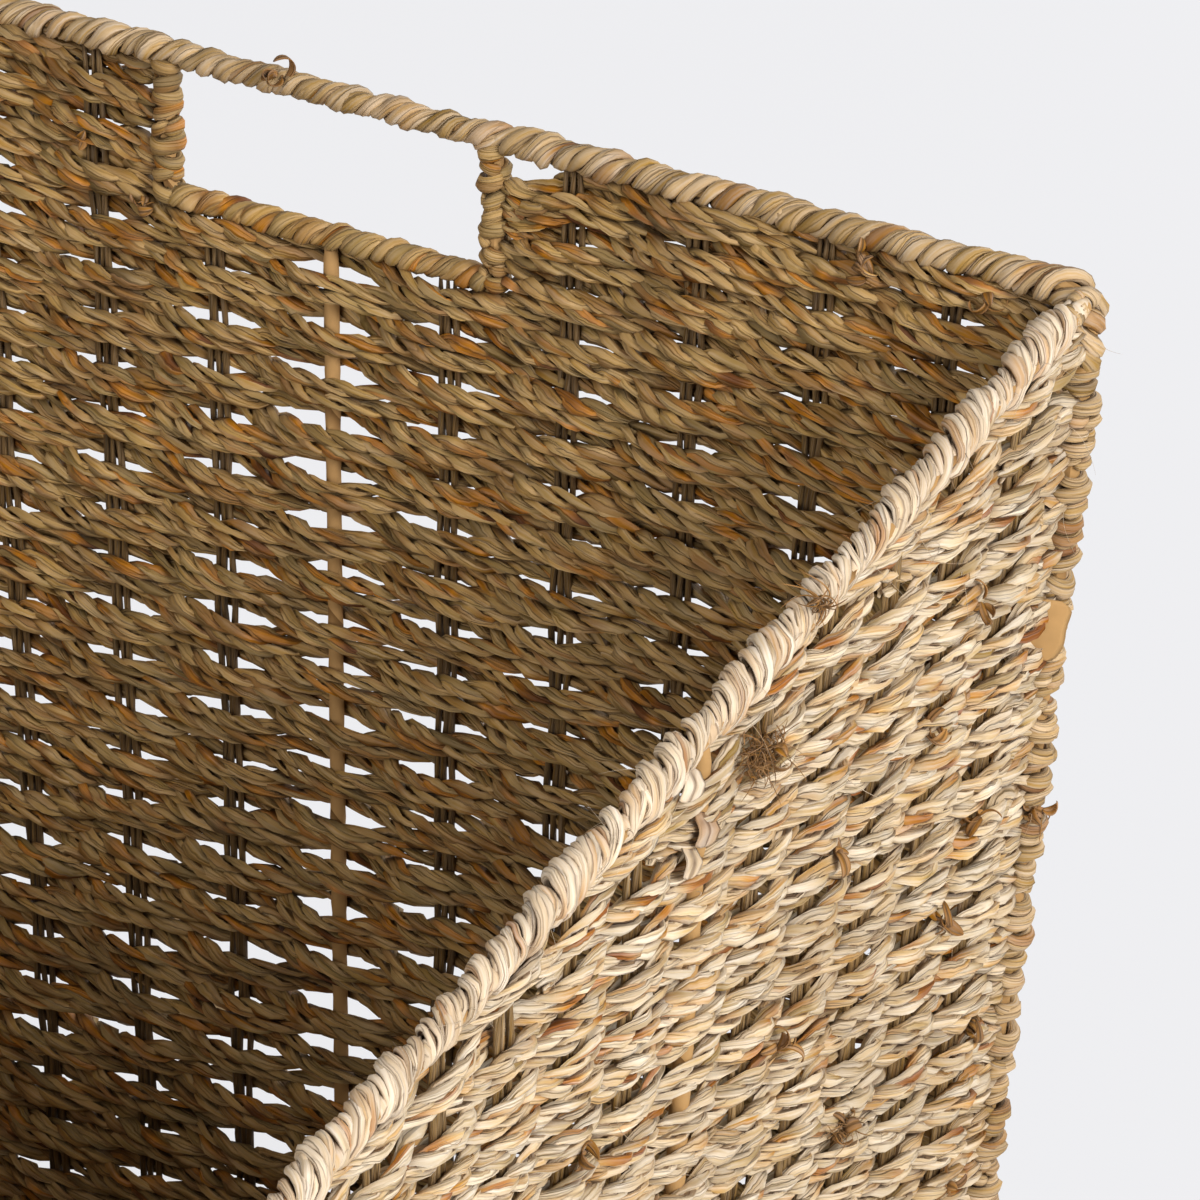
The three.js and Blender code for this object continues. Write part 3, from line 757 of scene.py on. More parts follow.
@dataclass
class Route:
    """A centre line with two directions square to it at every point."""

    points: np.ndarray
    outward: np.ndarray
    across: np.ndarray
    distance: np.ndarray

    @classmethod
    def through(cls, points: np.ndarray, reference: np.ndarray) -> "Route":
        """Makes a route through points.

        Args:
            points: The points in millimetres.
            reference: The direction that `outward` keeps closest to.

        Returns:
            The route.
        """
        tangent = unit(np.gradient(points, axis=0))
        along = np.sum(reference * tangent, axis=1, keepdims=True)
        outward = unit(reference - along * tangent)
        return cls(points, outward, np.cross(tangent, outward), distances_along(points))

    @property
    def length(self) -> float:
        """The route's length in millimetres."""
        return float(self.distance[-1])

    def at(self, distance: np.ndarray) -> "Route":
        """Takes the route's places at distances along it.

        Args:
            distance: The distances in millimetres.

        Returns:
            A route with one point for each distance.
        """
        def taken(values: np.ndarray) -> np.ndarray:
            """One of the route's fields at the distances."""
            axes = [np.interp(distance, self.distance, values[:, axis]) for axis in range(3)]
            return np.stack(axes, axis=1)

        return Route(taken(self.points), unit(taken(self.outward)), unit(taken(self.across)), distance)

    def evenly(self, count: int) -> "Route":
        """Takes evenly spaced places.

        Args:
            count: How many.

        Returns:
            A route of that many points.
        """
        return self.at(np.linspace(0.0, self.length, count))

    def spokes(self, angle: np.ndarray) -> np.ndarray:
        """The direction away from the line at each point, turned by an angle from outward to across."""
        return np.cos(angle)[:, None] * self.outward + np.sin(angle)[:, None] * self.across


@dataclass(frozen=True)
class StrandSection:
    """A strand's cross-section: leaves folded side by side round it, with creases between them."""

    sides: int = 8
    leaves: int = 2
    crease_share: float = 0.2
    uneven_share: float = 0.1
    leaf_turn_length: float = 70.0
    tip_share: float = 0.45
    tip_growth: float = 0.4
    uneven_wavelengths: tuple[float, ...] = (21.0, 9.0)

    def crease_pattern(self) -> np.ndarray:
        """The share by which each side's corner lies in from the section's outline."""
        corners_per_leaf = self.sides // self.leaves
        lows = np.zeros(self.sides)
        lows[::corners_per_leaf] = self.crease_share
        return lows


@dataclass
class Strand:
    """One strand: its line, the way it faces, its half sizes along the line and how far its leaves roll."""

    centre: np.ndarray
    facing: np.ndarray
    half_out: np.ndarray
    half_side: np.ndarray
    roll: np.ndarray


def tube_place(element: bmesh.types.BMEdge | bmesh.types.BMFace, sides: int) -> int:
    """Numbers a tube's edges or faces level by level and then round it.

    Args:
        element: The edge or face.
        sides: How many corners a ring has.

    Returns:
        A number that no other edge, or no other face, of the tube has.
    """
    middle = sum((vert.co for vert in element.verts), Vector()) / len(element.verts)
    half_sides = 2 * sides
    return (round(2 * middle.z) * half_sides
            + round(math.atan2(middle.y, middle.x) / TURN * half_sides) % half_sides)


def straight_tube(rings: int, sides: int) -> bpy.types.Mesh:
    """Makes an upright tube, closed at both ends, with one unit between rings.

    Args:
        rings: How many rings it has.
        sides: How many corners a ring has.

    Returns:
        The mesh, whose corners' places say which ring and side they belong to.
    """
    bm = bmesh.new()
    bmesh.ops.create_circle(bm, segments=sides, radius=1.0)
    bmesh.ops.spin(bm, geom=bm.verts[:] + bm.edges[:], cent=(0.0, 0.0, 0.0), axis=(0.0, 0.0, 1.0),
                   dvec=(0.0, 0.0, 1.0), angle=0.0, steps=rings - 1, use_merge=False)
    bmesh.ops.holes_fill(bm, edges=[edge for edge in bm.edges if edge.is_boundary], sides=0)
    bmesh.ops.recalc_face_normals(bm, faces=bm.faces[:])
    # The operators list edges and faces in an order that changes from run to run
    bm.edges.sort(key=lambda edge: tube_place(edge, sides))
    bm.faces.sort(key=lambda face: tube_place(face, sides))
    mesh = bpy.data.meshes.new("straight_tube")
    bm.to_mesh(mesh)
    bm.free()
    return mesh


def repeated(single: bpy.types.Mesh, count: int) -> bpy.types.Mesh:
    """Puts copies of a mesh into one mesh, one after another, and deletes the single one.

    Args:
        single: The mesh to repeat.
        count: How many copies.

    Returns:
        The mesh of all copies.
    """
    bm = bmesh.new()
    for _ in range(count):
        bm.from_mesh(single)
    mesh = bpy.data.meshes.new("repeated")
    bm.to_mesh(mesh)
    bm.free()
    bpy.data.meshes.remove(single)
    return mesh


@dataclass
class StrandField:
    """Strands with one kind of section, gathered and then made into one mesh."""

    section: StrandSection
    rng: np.random.Generator
    batches: dict[int, list[Strand]] = field(default_factory=dict)

    def lay(self, centre: np.ndarray, facing: np.ndarray, half_out: np.ndarray | float,
            half_side: np.ndarray | float, roll: np.ndarray | None = None) -> None:
        """Adds a strand along a line.

        Args:
            centre: The line's points in millimetres.
            facing: The direction of the section's first half size at each point.
            half_out: The half size along `facing`.
            half_side: The half size square to it.
            roll: How far the leaves are turned from `facing`, or None for a slow turn of their own.
        """
        rings = len(centre)
        ends = np.minimum(np.arange(rings), np.arange(rings)[::-1])
        taper = np.minimum(1.0, self.section.tip_share + self.section.tip_growth * ends)
        if roll is None:
            along = distances_along(centre)
            roll = self.rng.uniform(0.0, TURN) + TURN * along / self.section.leaf_turn_length
        strand = Strand(centre, facing, half_out * taper, half_side * taper, roll)
        self.batches.setdefault(rings, []).append(strand)

    def wind(self, route: Route, angle: np.ndarray, radius: np.ndarray | float,
             half_out: np.ndarray | float, half_side: np.ndarray | float,
             roll: np.ndarray | None = None) -> None:
        """Adds a strand that winds round a route.

        Args:
            route: The line it winds round, with one point for each ring.
            angle: The angle round the route at each point.
            radius: The distance of the strand's middle from the route.
            half_out: Half the strand's size away from the route.
            half_side: Half its size along the route.
            roll: How far the leaves are turned, as `lay` takes it.
        """
        spokes = route.spokes(angle)
        reach = np.broadcast_to(radius, angle.shape)[:, None]
        self.lay(route.points + reach * spokes, spokes, half_out, half_side, roll)

    def laid_batch(self, rings: int, strands: list[Strand]) -> bpy.types.Mesh:
        """Lays one batch of straight tubes along its strands' lines.

        Args:
            rings: How many rings each strand of the batch has.
            strands: The strands.

        Returns:
            The mesh in metres, with its UV map.
        """
        sides = self.section.sides
        mesh = repeated(straight_tube(rings, sides), len(strands))
        corners = np.empty(len(mesh.vertices) * 3, np.float32)
        mesh.vertices.foreach_get("co", corners)
        corners = corners.reshape(-1, 3).astype(float)
        tube = np.arange(len(corners)) // (rings * sides)
        ring = np.rint(corners[:, 2] / corners[:, 2].max() * (rings - 1)).astype(int)
        side = np.rint(np.arctan2(corners[:, 1], corners[:, 0]) / TURN * sides).astype(int) % sides

        centre = np.stack([strand.centre for strand in strands])
        tangent = unit(np.gradient(centre, axis=1))
        facing = np.stack([strand.facing for strand in strands])
        facing = unit(facing - np.sum(facing * tangent, axis=2, keepdims=True) * tangent)
        beside = np.cross(tangent, facing)
        along = distances_along(centre)
        roll = np.stack([strand.roll for strand in strands])
        height = self.leaf_heights(along)

        angle = TURN * side / sides + roll[tube, ring]
        scale = height[tube, side * self.section.leaves // sides, ring]
        scale = scale - self.section.crease_pattern()[side]
        out = np.stack([strand.half_out for strand in strands])[tube, ring] * scale * np.cos(angle)
        aside = np.stack([strand.half_side for strand in strands])[tube, ring] * scale * np.sin(angle)
        placed = centre[tube, ring] + out[:, None] * facing[tube, ring] + aside[:, None] * beside[tube, ring]
        mesh.vertices.foreach_set("co", (placed * MM).astype(np.float32).ravel())
        self.unwrap(mesh, side, along[tube, ring] * MM
                    + self.rng.uniform(0.0, MAX_STRAND_SHIFT, len(strands))[tube])
        return mesh

    def leaf_heights(self, along: np.ndarray) -> np.ndarray:
        """Works out how far each leaf stands out along each strand.

        Args:
            along: Distances along the strands, one row a strand.

        Returns:
            The share of the section's size for each strand, leaf and ring.
        """
        strands, leaves = len(along), self.section.leaves
        total = np.ones((strands, leaves, along.shape[1]))
        for wavelength in self.section.uneven_wavelengths:
            waves = wavelength * self.rng.uniform(0.7, 1.4, (strands, leaves, 1))
            starts = self.rng.uniform(0.0, TURN, (strands, leaves, 1))
            total += self.section.uneven_share * np.sin(TURN * along[:, None, :] / waves + starts)
        return total

    def unwrap(self, mesh: bpy.types.Mesh, side: np.ndarray, along: np.ndarray) -> None:
        """Writes the UV map: U counts the leaves round each strand, V runs along it in metres.

        Args:
            mesh: The laid mesh.
            side: The side number of each corner.
            along: The V of each corner.
        """
        corner = np.empty(len(mesh.loops), np.int32)
        mesh.loops.foreach_get("vertex_index", corner)
        totals = np.empty(len(mesh.polygons), np.int32)
        mesh.polygons.foreach_get("loop_total", totals)
        is_wall = np.repeat(totals == 4, totals)
        across = side[corner].astype(float)
        quads = across[is_wall].reshape(-1, 4)
        past_seam = quads.max(axis=1, keepdims=True) - quads > self.section.sides / 2
        across[is_wall] = (quads + self.section.sides * past_seam).ravel()
        uv = np.stack([across * self.section.leaves / self.section.sides, along[corner]], axis=1)
        layer = mesh.uv_layers.new(name=STRAND_UV)
        layer.data.foreach_set("uv", uv.astype(np.float32).ravel())

    def to_object(self, name: str) -> bpy.types.Object:
        """Makes the gathered strands into one object.

        Args:
            name: The object's name.

        Returns:
            The object, smooth shaded, with its place in its mesh.
        """
        whole = bmesh.new()
        for rings in sorted(self.batches):
            batch = self.laid_batch(rings, self.batches[rings])
            whole.from_mesh(batch)
            bpy.data.meshes.remove(batch)
        mesh = bpy.data.meshes.new(name)
        whole.to_mesh(mesh)
        whole.free()
        mesh.polygons.foreach_set("use_smooth", np.ones(len(mesh.polygons), bool))
        return linked(name, mesh)


@dataclass(frozen=True)
class TwistedCord:
    """The weft: plies of folded leaf twisted into a cord, so that the leaves run along their ply."""

    plies: int = 2
    ply_offset: float = 0.98
    half_out: float = 1.22
    half_side: float = 1.82
    twist_length: float = 16.5
    leaf_drift_length: float = 90.0
    lay: Lay = Lay.RIGHT_HANDED
    twist_range: tuple[float, float] = (0.86, 1.16)
    turn_drift: Drift = Drift(110.0, 0.5)
    swell_drift: Drift = Drift(26.0, 0.17)
    offset_drift: Drift = Drift(60.0, 0.12)
    angle_drift: Drift = Drift(45.0, 0.25)

    def lay_along(self, strands: StrandField, route: Route, fullness: np.ndarray) -> None:
        """Lays all plies along a route.

        Args:
            strands: The field that gets them.
            route: The cord's centre line.
            fullness: The cord's size at each point of the route, where 1 is the usual.
        """
        rng = strands.rng
        place = route.distance
        twist = TURN * place / (self.twist_length * rng.uniform(*self.twist_range))
        turn = self.lay.value * twist + rng.uniform(0.0, TURN) + self.turn_drift.along(rng, place)
        for ply in range(self.plies):
            swell = fullness * (1.0 + self.swell_drift.along(rng, place))
            offset = self.ply_offset * fullness * (1.0 + self.offset_drift.along(rng, place))
            angle = turn + TURN * ply / self.plies + self.angle_drift.along(rng, place)
            roll = rng.uniform(0.0, TURN) - angle + TURN * place / self.leaf_drift_length
            strands.wind(route, angle, offset, self.half_out * swell, self.half_side * swell, roll)


@dataclass
class Finished:
    """A finished piece and what it stands for."""

    made: bpy.types.Object
    material: bpy.types.Material
    slot: Slot
    nodes: tuple[str, ...]

    def register(self) -> None:
        """Dresses the piece, fixes it to the basket and hides the CAD nodes that it stands for."""
        self.made.data.materials.append(self.material)
        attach(self.made, BODY)
        if self.nodes:
            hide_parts(*self.nodes)
        log.info("%s: %d faces", self.made.name, len(self.made.data.polygons))


@dataclass(frozen=True)
class RowRun:
    """One stretch of a weft row: from one edge to the other, at a height that may change on the way."""

    number: int
    start: float
    end: float
    height_at: Callable[[np.ndarray], np.ndarray]


def level_at(height: float) -> Callable[[np.ndarray], np.ndarray]:
    """Makes the rule for a row that keeps to one height.

    Args:
        height: The height in millimetres.

    Returns:
        A function that gives the height at each place along the row.
    """
    return lambda along: np.full_like(along, height)


@dataclass
class WovenPanel(ABC):
    """A panel of weft rows, each a pair of cords, that pass before and behind the stakes by turns."""

    shape: BasketShape
    leaf: bpy.types.Material
    name: str
    node: str
    seed: int
    cord: TwistedCord = TwistedCord()
    section: StrandSection = StrandSection(sides=6, crease_share=0.1)
    row_pitch: float = 6.6
    cords_per_row: int = 2
    weave_depth: float = 2.9
    ring_step: float = 2.1
    squeeze_share: float = 0.08
    piece_count: int = 1
    turn_reach: float = 13.0
    turn_share: float = 0.3
    outward: Point = (0.0, 1.0, 0.0)
    row_spread: float = 0.45
    flattening: float = 0.12
    squeeze_middle: float = 0.6
    fullness_range: tuple[float, float] = (0.9, 1.1)
    slow_height_drift: Drift = Drift(150.0, 0.9)
    quick_height_drift: Drift = Drift(50.0, 0.5)
    cord_height_drift: Drift = Drift(70.0, 0.5)
    reach_drift: Drift = Drift(90.0, 0.3)
    depth_drift: Drift = Drift(60.0, 0.5)

    @abstractmethod
    def rows(self) -> Iterator[RowRun]:
        """Yields the runs of every row, from the foot up."""

    @abstractmethod
    def place(self, along: np.ndarray, height: np.ndarray, depth: np.ndarray) -> np.ndarray:
        """Gives the points at places along and up the panel, and at depths out of it."""

    def stake_phase(self, along: np.ndarray, height: np.ndarray) -> np.ndarray:
        """Counts half turns across the fan of front-back stakes, whole ones at the stakes."""
        return math.pi * (along / self.shape.half_width(height) + 1.0) * STAKE_SPACES / 2

    def fullness_at(self, along: np.ndarray, height: np.ndarray) -> np.ndarray:
        """Gives the cord's size at places along and up the panel, where 1 is the usual."""
        return np.ones_like(along)

    def depth_at(self, along: np.ndarray) -> np.ndarray:
        """Gives how far the rows pass before and behind the stakes at places along the panel."""
        return np.full_like(along, self.weave_depth)

    def lay_run(self, run: RowRun, strands: StrandField) -> None:
        """Works out the line of one run and lays its cords, one above the other.

        Args:
            run: The run.
            strands: The field that gets the cords' plies.
        """
        rng = strands.rng
        length = abs(run.end - run.start)
        along = np.linspace(run.start, run.end, ring_count(length, self.ring_step))
        from_end = np.minimum(np.abs(along - run.start), np.abs(along - run.end))
        open_share = smoothstep(from_end / self.turn_reach)
        pair = 1.0 if run.number % 2 else -1.0
        drawn_in = -pair * self.turn_share * self.row_pitch * (1.0 - open_share)
        height = run.height_at(along) + drawn_in + rng.uniform(-self.row_spread, self.row_spread)
        height = (height + self.slow_height_drift.along(rng, along)
                  + self.quick_height_drift.along(rng, along))
        phase = self.stake_phase(along, height) + math.pi * run.number
        weave = np.cos(phase) * (1.0 + self.flattening - self.flattening * np.cos(phase) ** 2)
        squeezed = 1.0 + self.squeeze_share * (np.abs(np.sin(phase)) - self.squeeze_middle)
        fullness = self.fullness_at(along, height) * squeezed
        for cord in range(self.cords_per_row):
            above = (cord - (self.cords_per_row - 1) / 2) * self.row_pitch / self.cords_per_row
            line = height + above * fullness + self.cord_height_drift.along(rng, along)
            reach = self.depth_at(along) * (1.0 + self.reach_drift.along(rng, along))
            depth = reach * weave * open_share + self.depth_drift.along(rng, along)
            route = Route.through(self.place(along, line, depth), np.array(self.outward))
            self.cord.lay_along(strands, route, fullness * rng.uniform(*self.fullness_range))

    def build(self) -> list[Finished]:
        """Weaves the rows and makes them into pieces, from the foot up."""
        runs = list(self.rows())
        rng = np.random.default_rng(self.seed)
        finished = []
        for piece in range(self.piece_count):
            strands = StrandField(self.section, rng)
            first = len(runs) * piece // self.piece_count
            last = len(runs) * (piece + 1) // self.piece_count
            for run in runs[first:last]:
                self.lay_run(run, strands)
            name = f"{self.name}_{piece + 1}" if self.piece_count > 1 else self.name
            finished.append(Finished(strands.to_object(name), self.leaf, Slot.WEFT, (self.node,)))
        return finished


@dataclass
class BackWall(WovenPanel):
    """The tall back wall, with its rows stopped at the hand opening."""

    foot: float = 8.4
    rim_clearance: float = 6.2
    post_clearance: float = 2.4
    sill_clearance: float = 6.2
    tight_start: float = -20.0
    tight_reach: float = 170.0
    crowd_drop: float = 9.0
    crowd_reach: float = 26.0
    hoop_reach: float = 26.0
    hoop_depth: float = 1.0
    hoop_thinning: float = 0.15
    usual_fullness: float = 1.13
    tight_fullness: float = 0.08

    def rows(self) -> Iterator[RowRun]:
        """Yields one run a row up to the sill, and two halves a row beside the hand opening."""
        first_whole = self.shape.sill_height - self.sill_clearance
        top = self.shape.rim_height - self.rim_clearance
        post = self.shape.post_x + self.post_clearance
        whole = round((first_whole - self.foot) / self.row_pitch) + 1
        pitch = (first_whole - self.foot) / (whole - 1)
        halved = round((top - first_whole) / self.row_pitch)
        for number in range(whole + halved):
            share = max(0, number - whole + 1) / halved
            below = max(0, whole - 1 - number) * pitch
            height = first_whole - below + share * (top - first_whole)
            edge = float(self.shape.half_width(height))
            if share > 0:
                drop = self.crowd_drop * share ** 2
                crowded = lambda along, height=height, drop=drop: (
                    height - drop * (1.0 - smoothstep((along - post) / self.crowd_reach)))
                yield RowRun(number, -edge, -post, level_at(height))
                yield RowRun(number, post, edge, crowded)
            else:
                yield RowRun(number, -edge, edge, level_at(height))

    def fullness_at(self, along: np.ndarray, height: np.ndarray) -> np.ndarray:
        """Gives the cord's size: it is packed tighter to the right and towards the rim."""
        tighter = smoothstep((along - self.tight_start) / self.tight_reach
                             + (height - self.shape.sill_height) / self.shape.sill_height)
        return (self.usual_fullness + self.tight_fullness * tighter
                - self.hoop_thinning * self.near_hoop(along))

    def near_hoop(self, along: np.ndarray) -> np.ndarray:
        """Gives 1 at the middle hoop rod, falling to 0 away from it."""
        return np.exp(-((along / self.hoop_reach) ** 2))

    def depth_at(self, along: np.ndarray) -> np.ndarray:
        """Gives how far the rows pass before and behind: the hoop rod holds them further apart."""
        return self.weave_depth + self.hoop_depth * self.near_hoop(along)

    def place(self, along: np.ndarray, height: np.ndarray, depth: np.ndarray) -> np.ndarray:
        """Gives points on the upright back plane."""
        return np.stack([along, self.shape.back_y + depth, height], axis=1)


@dataclass
class FrontWall(WovenPanel):
    """The low front wall, leaning out."""

    foot: float = 8.4
    rim_clearance: float = 7.4

    def rows(self) -> Iterator[RowRun]:
        """Yields one run a row from the foot to the rim."""
        top = self.shape.front_rim_height - self.rim_clearance
        for number in range(int((top - self.foot) / self.row_pitch) + 1):
            height = self.foot + number * self.row_pitch
            edge = float(self.shape.half_width(height))
            yield RowRun(number, -edge, edge, level_at(height))

    def place(self, along: np.ndarray, height: np.ndarray, depth: np.ndarray) -> np.ndarray:
        """Gives points on the leaning front plane."""
        return np.stack([along, self.shape.front_y(height) - depth, height], axis=1)


@dataclass
class SideWall(WovenPanel):
    """A side wall: its rows are level at the foot and lean towards the slanted rim higher up."""

    side: Side = Side.RIGHT
    row_pitch: float = 6.35
    foot: float = 8.4
    rim_clearance: float = 7.0
    row_slope: float = 0.24
    turn_reach: float = 17.0
    turn_share: float = 0.4
    shortest_run: float = 22.0
    usual_fullness: float = 1.08
    lean_thinning: float = 0.8
    rim_rows: int = 2

    def rows(self) -> Iterator[RowRun]:
        """Yields one run a row: the top ones cut short, and under the slanted rim some along it."""
        top = self.shape.rim_height - self.rim_clearance
        free_top = top - self.rim_rows * self.row_pitch
        count = int((free_top - self.foot) / self.row_pitch) + 1
        for number in range(count):
            height = self.foot + number * self.row_pitch
            slope = self.row_slope * height / top
            until_rim = (free_top - height) / (self.shape.rim_slope - slope)
            until_front = float(self.shape.depth(height - slope * self.shape.depth(height)))
            end = min(until_rim, until_front)
            if end > self.shortest_run:
                yield RowRun(number, 0.0, end,
                             lambda along, height=height, slope=slope: height - slope * along)
        for number in range(self.rim_rows):
            height = free_top + (number + 1) * self.row_pitch
            end = float(self.shape.depth(self.shape.front_rim_height))
            yield RowRun(count + number, 0.0, end,
                         lambda along, height=height: height - self.shape.rim_slope * along)

    def fullness_at(self, along: np.ndarray, height: np.ndarray) -> np.ndarray:
        """Gives the cord's size: thinner where the leaning rows come closer together at the front."""
        return self.usual_fullness - self.lean_thinning * self.row_slope * along / self.shape.rim_height

    def place(self, along: np.ndarray, height: np.ndarray, depth: np.ndarray) -> np.ndarray:
        """Gives points on the leaning side plane, measured forward from the back wall."""
        lean = self.shape.side_lean
        steep = 1.0 / math.hypot(1.0, lean)
        out = self.shape.half_width(height) + depth * steep
        return np.stack([self.side.value * out, self.shape.back_y - along, height - depth * steep * lean],
                        axis=1)

    def stake_phase(self, along: np.ndarray, height: np.ndarray) -> np.ndarray:
        """Counts half turns from the back corner to the front corner."""
        return math.pi * along / self.shape.depth(height) * SIDE_SPACES


@dataclass
class WovenBase(WovenPanel):
    """The base: rows from side to side, with the side stakes lying among them as every third row."""

    middle_height: float = 6.4
    edge_clearance: float = 2.0
    closing_fullness: float = 1.32
    rows_per_space: int = 3

    def rows(self) -> Iterator[RowRun]:
        """Yields one run a row, leaving out the rows where the side stakes lie."""
        shape = self.shape
        depth = float(shape.depth(shape.ring_height))
        pitch = depth / SIDE_SPACES / self.rows_per_space
        edge = float(shape.half_width(shape.ring_height)) - self.edge_clearance
        for number in range(1, SIDE_SPACES * self.rows_per_space):
            if number % self.rows_per_space:
                yield RowRun(number, -edge, edge, level_at(number * pitch))

    def fullness_at(self, along: np.ndarray, height: np.ndarray) -> np.ndarray:
        """Gives the cord's size: thicker than in the walls, which leaves only narrow slits in the base."""
        return np.full_like(along, self.closing_fullness)

    def place(self, along: np.ndarray, height: np.ndarray, depth: np.ndarray) -> np.ndarray:
        """Gives points on the base, where `height` is the distance in front of the back wall."""
        return np.stack([along, self.shape.back_y - height, self.middle_height + depth], axis=1)

    def stake_phase(self, along: np.ndarray, height: np.ndarray) -> np.ndarray:
        """Counts half turns across the stakes, which don't fan out here."""
        return super().stake_phase(along, self.shape.ring_height)


@dataclass
class StakeSet:
    """The stakes: bundles of strands that run down one wall, under the base and up the wall opposite."""

    shape: BasketShape
    pale_leaf: bpy.types.Material
    brown_leaf: bpy.types.Material
    seed: int = 41
    section: StrandSection = StrandSection(sides=8, leaves=4, crease_share=0.12)
    strand_count: int = 3
    strand_spacing: float = 2.1
    half_thickness: float = 1.0
    half_width: float = 0.85
    base_height: float = 6.4
    rim_reach: float = 1.5
    ring_step: float = 7.0
    aside_drift: Drift = Drift(60.0, 0.75)
    lift_drift: Drift = Drift(80.0, 0.35)
    thickness_drift: Drift = Drift(60.0, 0.12)
    width_drift: Drift = Drift(75.0, 0.12)

    def bundle(self, name: str, node: str, corners: list[Point],
               leaf: bpy.types.Material, sideways: np.ndarray, rng: np.random.Generator) -> Finished:
        """Makes one stake.

        Args:
            name: The piece's name.
            node: The CAD node that it stands for.
            corners: The corners of its line.
            leaf: Its material.
            sideways: The direction in which its strands lie side by side.
            rng: The seeded source of chance.

        Returns:
            The finished stake.
        """
        strands = StrandField(self.section, rng)
        line = Route.through(rounded_line(corners, STAKE_BEND_RADIUS), sideways)
        route = line.evenly(ring_count(line.length, self.ring_step))
        for number in range(self.strand_count):
            offset = (number - (self.strand_count - 1) / 2) * self.strand_spacing
            drift = self.aside_drift.along(rng, route.distance)[:, None] * route.outward
            lift = self.lift_drift.along(rng, route.distance)[:, None] * route.across
            strands.lay(route.points + offset * route.outward + drift + lift, route.across,
                        self.half_thickness * (1.0 + self.thickness_drift.along(rng, route.distance)),
                        self.half_width * (1.0 + self.width_drift.along(rng, route.distance)))
        return Finished(strands.to_object(name), leaf, Slot.STAKE, (node,))

    def front_back_corners(self, share: float) -> list[Point]:
        """Gives the corners of a front-back stake's line.

        Args:
            share: Its place from the middle, as a share of the half width.

        Returns:
            Top of the back, foot of the back, foot of the front, top of the front.
        """
        shape = self.shape
        under_handle = abs(share) * shape.rim_half_width < shape.post_x
        back_top = (shape.sill_height if under_handle else shape.rim_height) - self.rim_reach
        front_top = shape.front_rim_height - self.rim_reach
        foot = self.base_height
        return [
            (share * shape.half_width(back_top), shape.back_y, back_top),
            (share * shape.half_width(foot), shape.back_y, foot),
            (share * shape.half_width(foot), shape.front_y(foot), foot),
            (share * shape.half_width(front_top), shape.front_y(front_top), front_top),
        ]

    def side_corners(self, share: float) -> list[Point]:
        """Gives the corners of a side stake's line.

        Args:
            share: Its place forward from the back wall, as a share of the depth.

        Returns:
            Top of the right side, its foot, foot of the left side, its top.
        """
        shape = self.shape
        foot = self.base_height
        top = shape.rim_height
        for _ in range(ARC_STEPS):
            top = float(shape.rim_height_at(share * shape.depth(top))) - self.rim_reach
        return [
            (shape.half_width(top), shape.back_y - share * shape.depth(top), top),
            (shape.half_width(foot), shape.back_y - share * shape.depth(foot), foot),
            (-shape.half_width(foot), shape.back_y - share * shape.depth(foot), foot),
            (-shape.half_width(top), shape.back_y - share * shape.depth(top), top),
        ]

    def build(self) -> list[Finished]:
        """Makes every stake of both directions."""
        rng = np.random.default_rng(self.seed)
        finished = []
        for number, share in enumerate(stake_shares(STAKE_SPACES, STAKE_SPACES // 2), start=1):
            corners = self.front_back_corners(2 * share - 1)
            finished.append(self.bundle(f"front_back_stake_bundle_{number}", f"front_back_stake_{number}",
                                        corners, self.brown_leaf, RIGHTWARD, rng))
        for number, share in enumerate(stake_shares(SIDE_SPACES, SIDE_HOOP_PLACE), start=1):
            corners = self.side_corners(share)
            finished.append(self.bundle(f"side_stake_bundle_{number}", f"side_stake_{number}",
                                        corners, self.pale_leaf, BACKWARD, rng))
        return finished


@dataclass
class TapedHoops:
    """The two middle hoops: iron rod wound with overlapping paper tape, seen between the rows."""

    shape: BasketShape
    tape: bpy.types.Material
    seed: int = 53
    tape_step: float = 12.0
    tape_lift: float = 0.22
    side_hoop_height: float = 8.2
    front_back_hoop_height: float = 3.2
    ring_step: float = 3.0
    sides: int = 12

    def hoop(self, name: str, node: str, corners: list[Point], radius: float,
             sideways: np.ndarray, rng: np.random.Generator) -> Finished:
        """Makes one hoop.

        Args:
            name: The piece's name.
            node: The CAD node that it stands for.
            corners: The corners of its line.
            radius: The rod's radius with its tape.
            sideways: A direction square to the hoop's plane.
            rng: The seeded source of chance.

        Returns:
            The finished hoop.
        """
        plain = StrandSection(sides=self.sides, leaves=self.sides // 2, crease_share=0.0, uneven_share=0.012)
        strands = StrandField(plain, rng)
        line = Route.through(rounded_line(corners, STAKE_BEND_RADIUS), sideways)
        route = line.evenly(ring_count(line.length, self.ring_step))
        lift = self.tape_lift * (route.distance / self.tape_step % 1.0)
        wound = radius - self.tape_lift + lift
        strands.lay(route.points, route.outward, wound, wound)
        return Finished(strands.to_object(name), self.tape, Slot.ROD, (node,))

    def build(self) -> list[Finished]:
        """Makes both hoops."""
        shape = self.shape
        rng = np.random.default_rng(self.seed)
        low = self.front_back_hoop_height
        front_top = shape.front_rim_height
        front_back = [
            (0.0, shape.back_y, shape.sill_height),
            (0.0, shape.back_y, low),
            (0.0, shape.front_y(low), low),
            (0.0, shape.front_y(front_top), front_top),
        ]
        stakes = StakeSet(shape, self.tape, self.tape, base_height=self.side_hoop_height)
        side = stakes.side_corners(SIDE_HOOP_PLACE / SIDE_SPACES)
        return [
            self.hoop("front_back_taped_hoop", "front_back_hoop_rod", front_back, ROD_RADIUS,
                      RIGHTWARD, rng),
            self.hoop("side_taped_hoop", "side_hoop_rod", side, SIDE_HOOP_RADIUS, BACKWARD, rng),
        ]


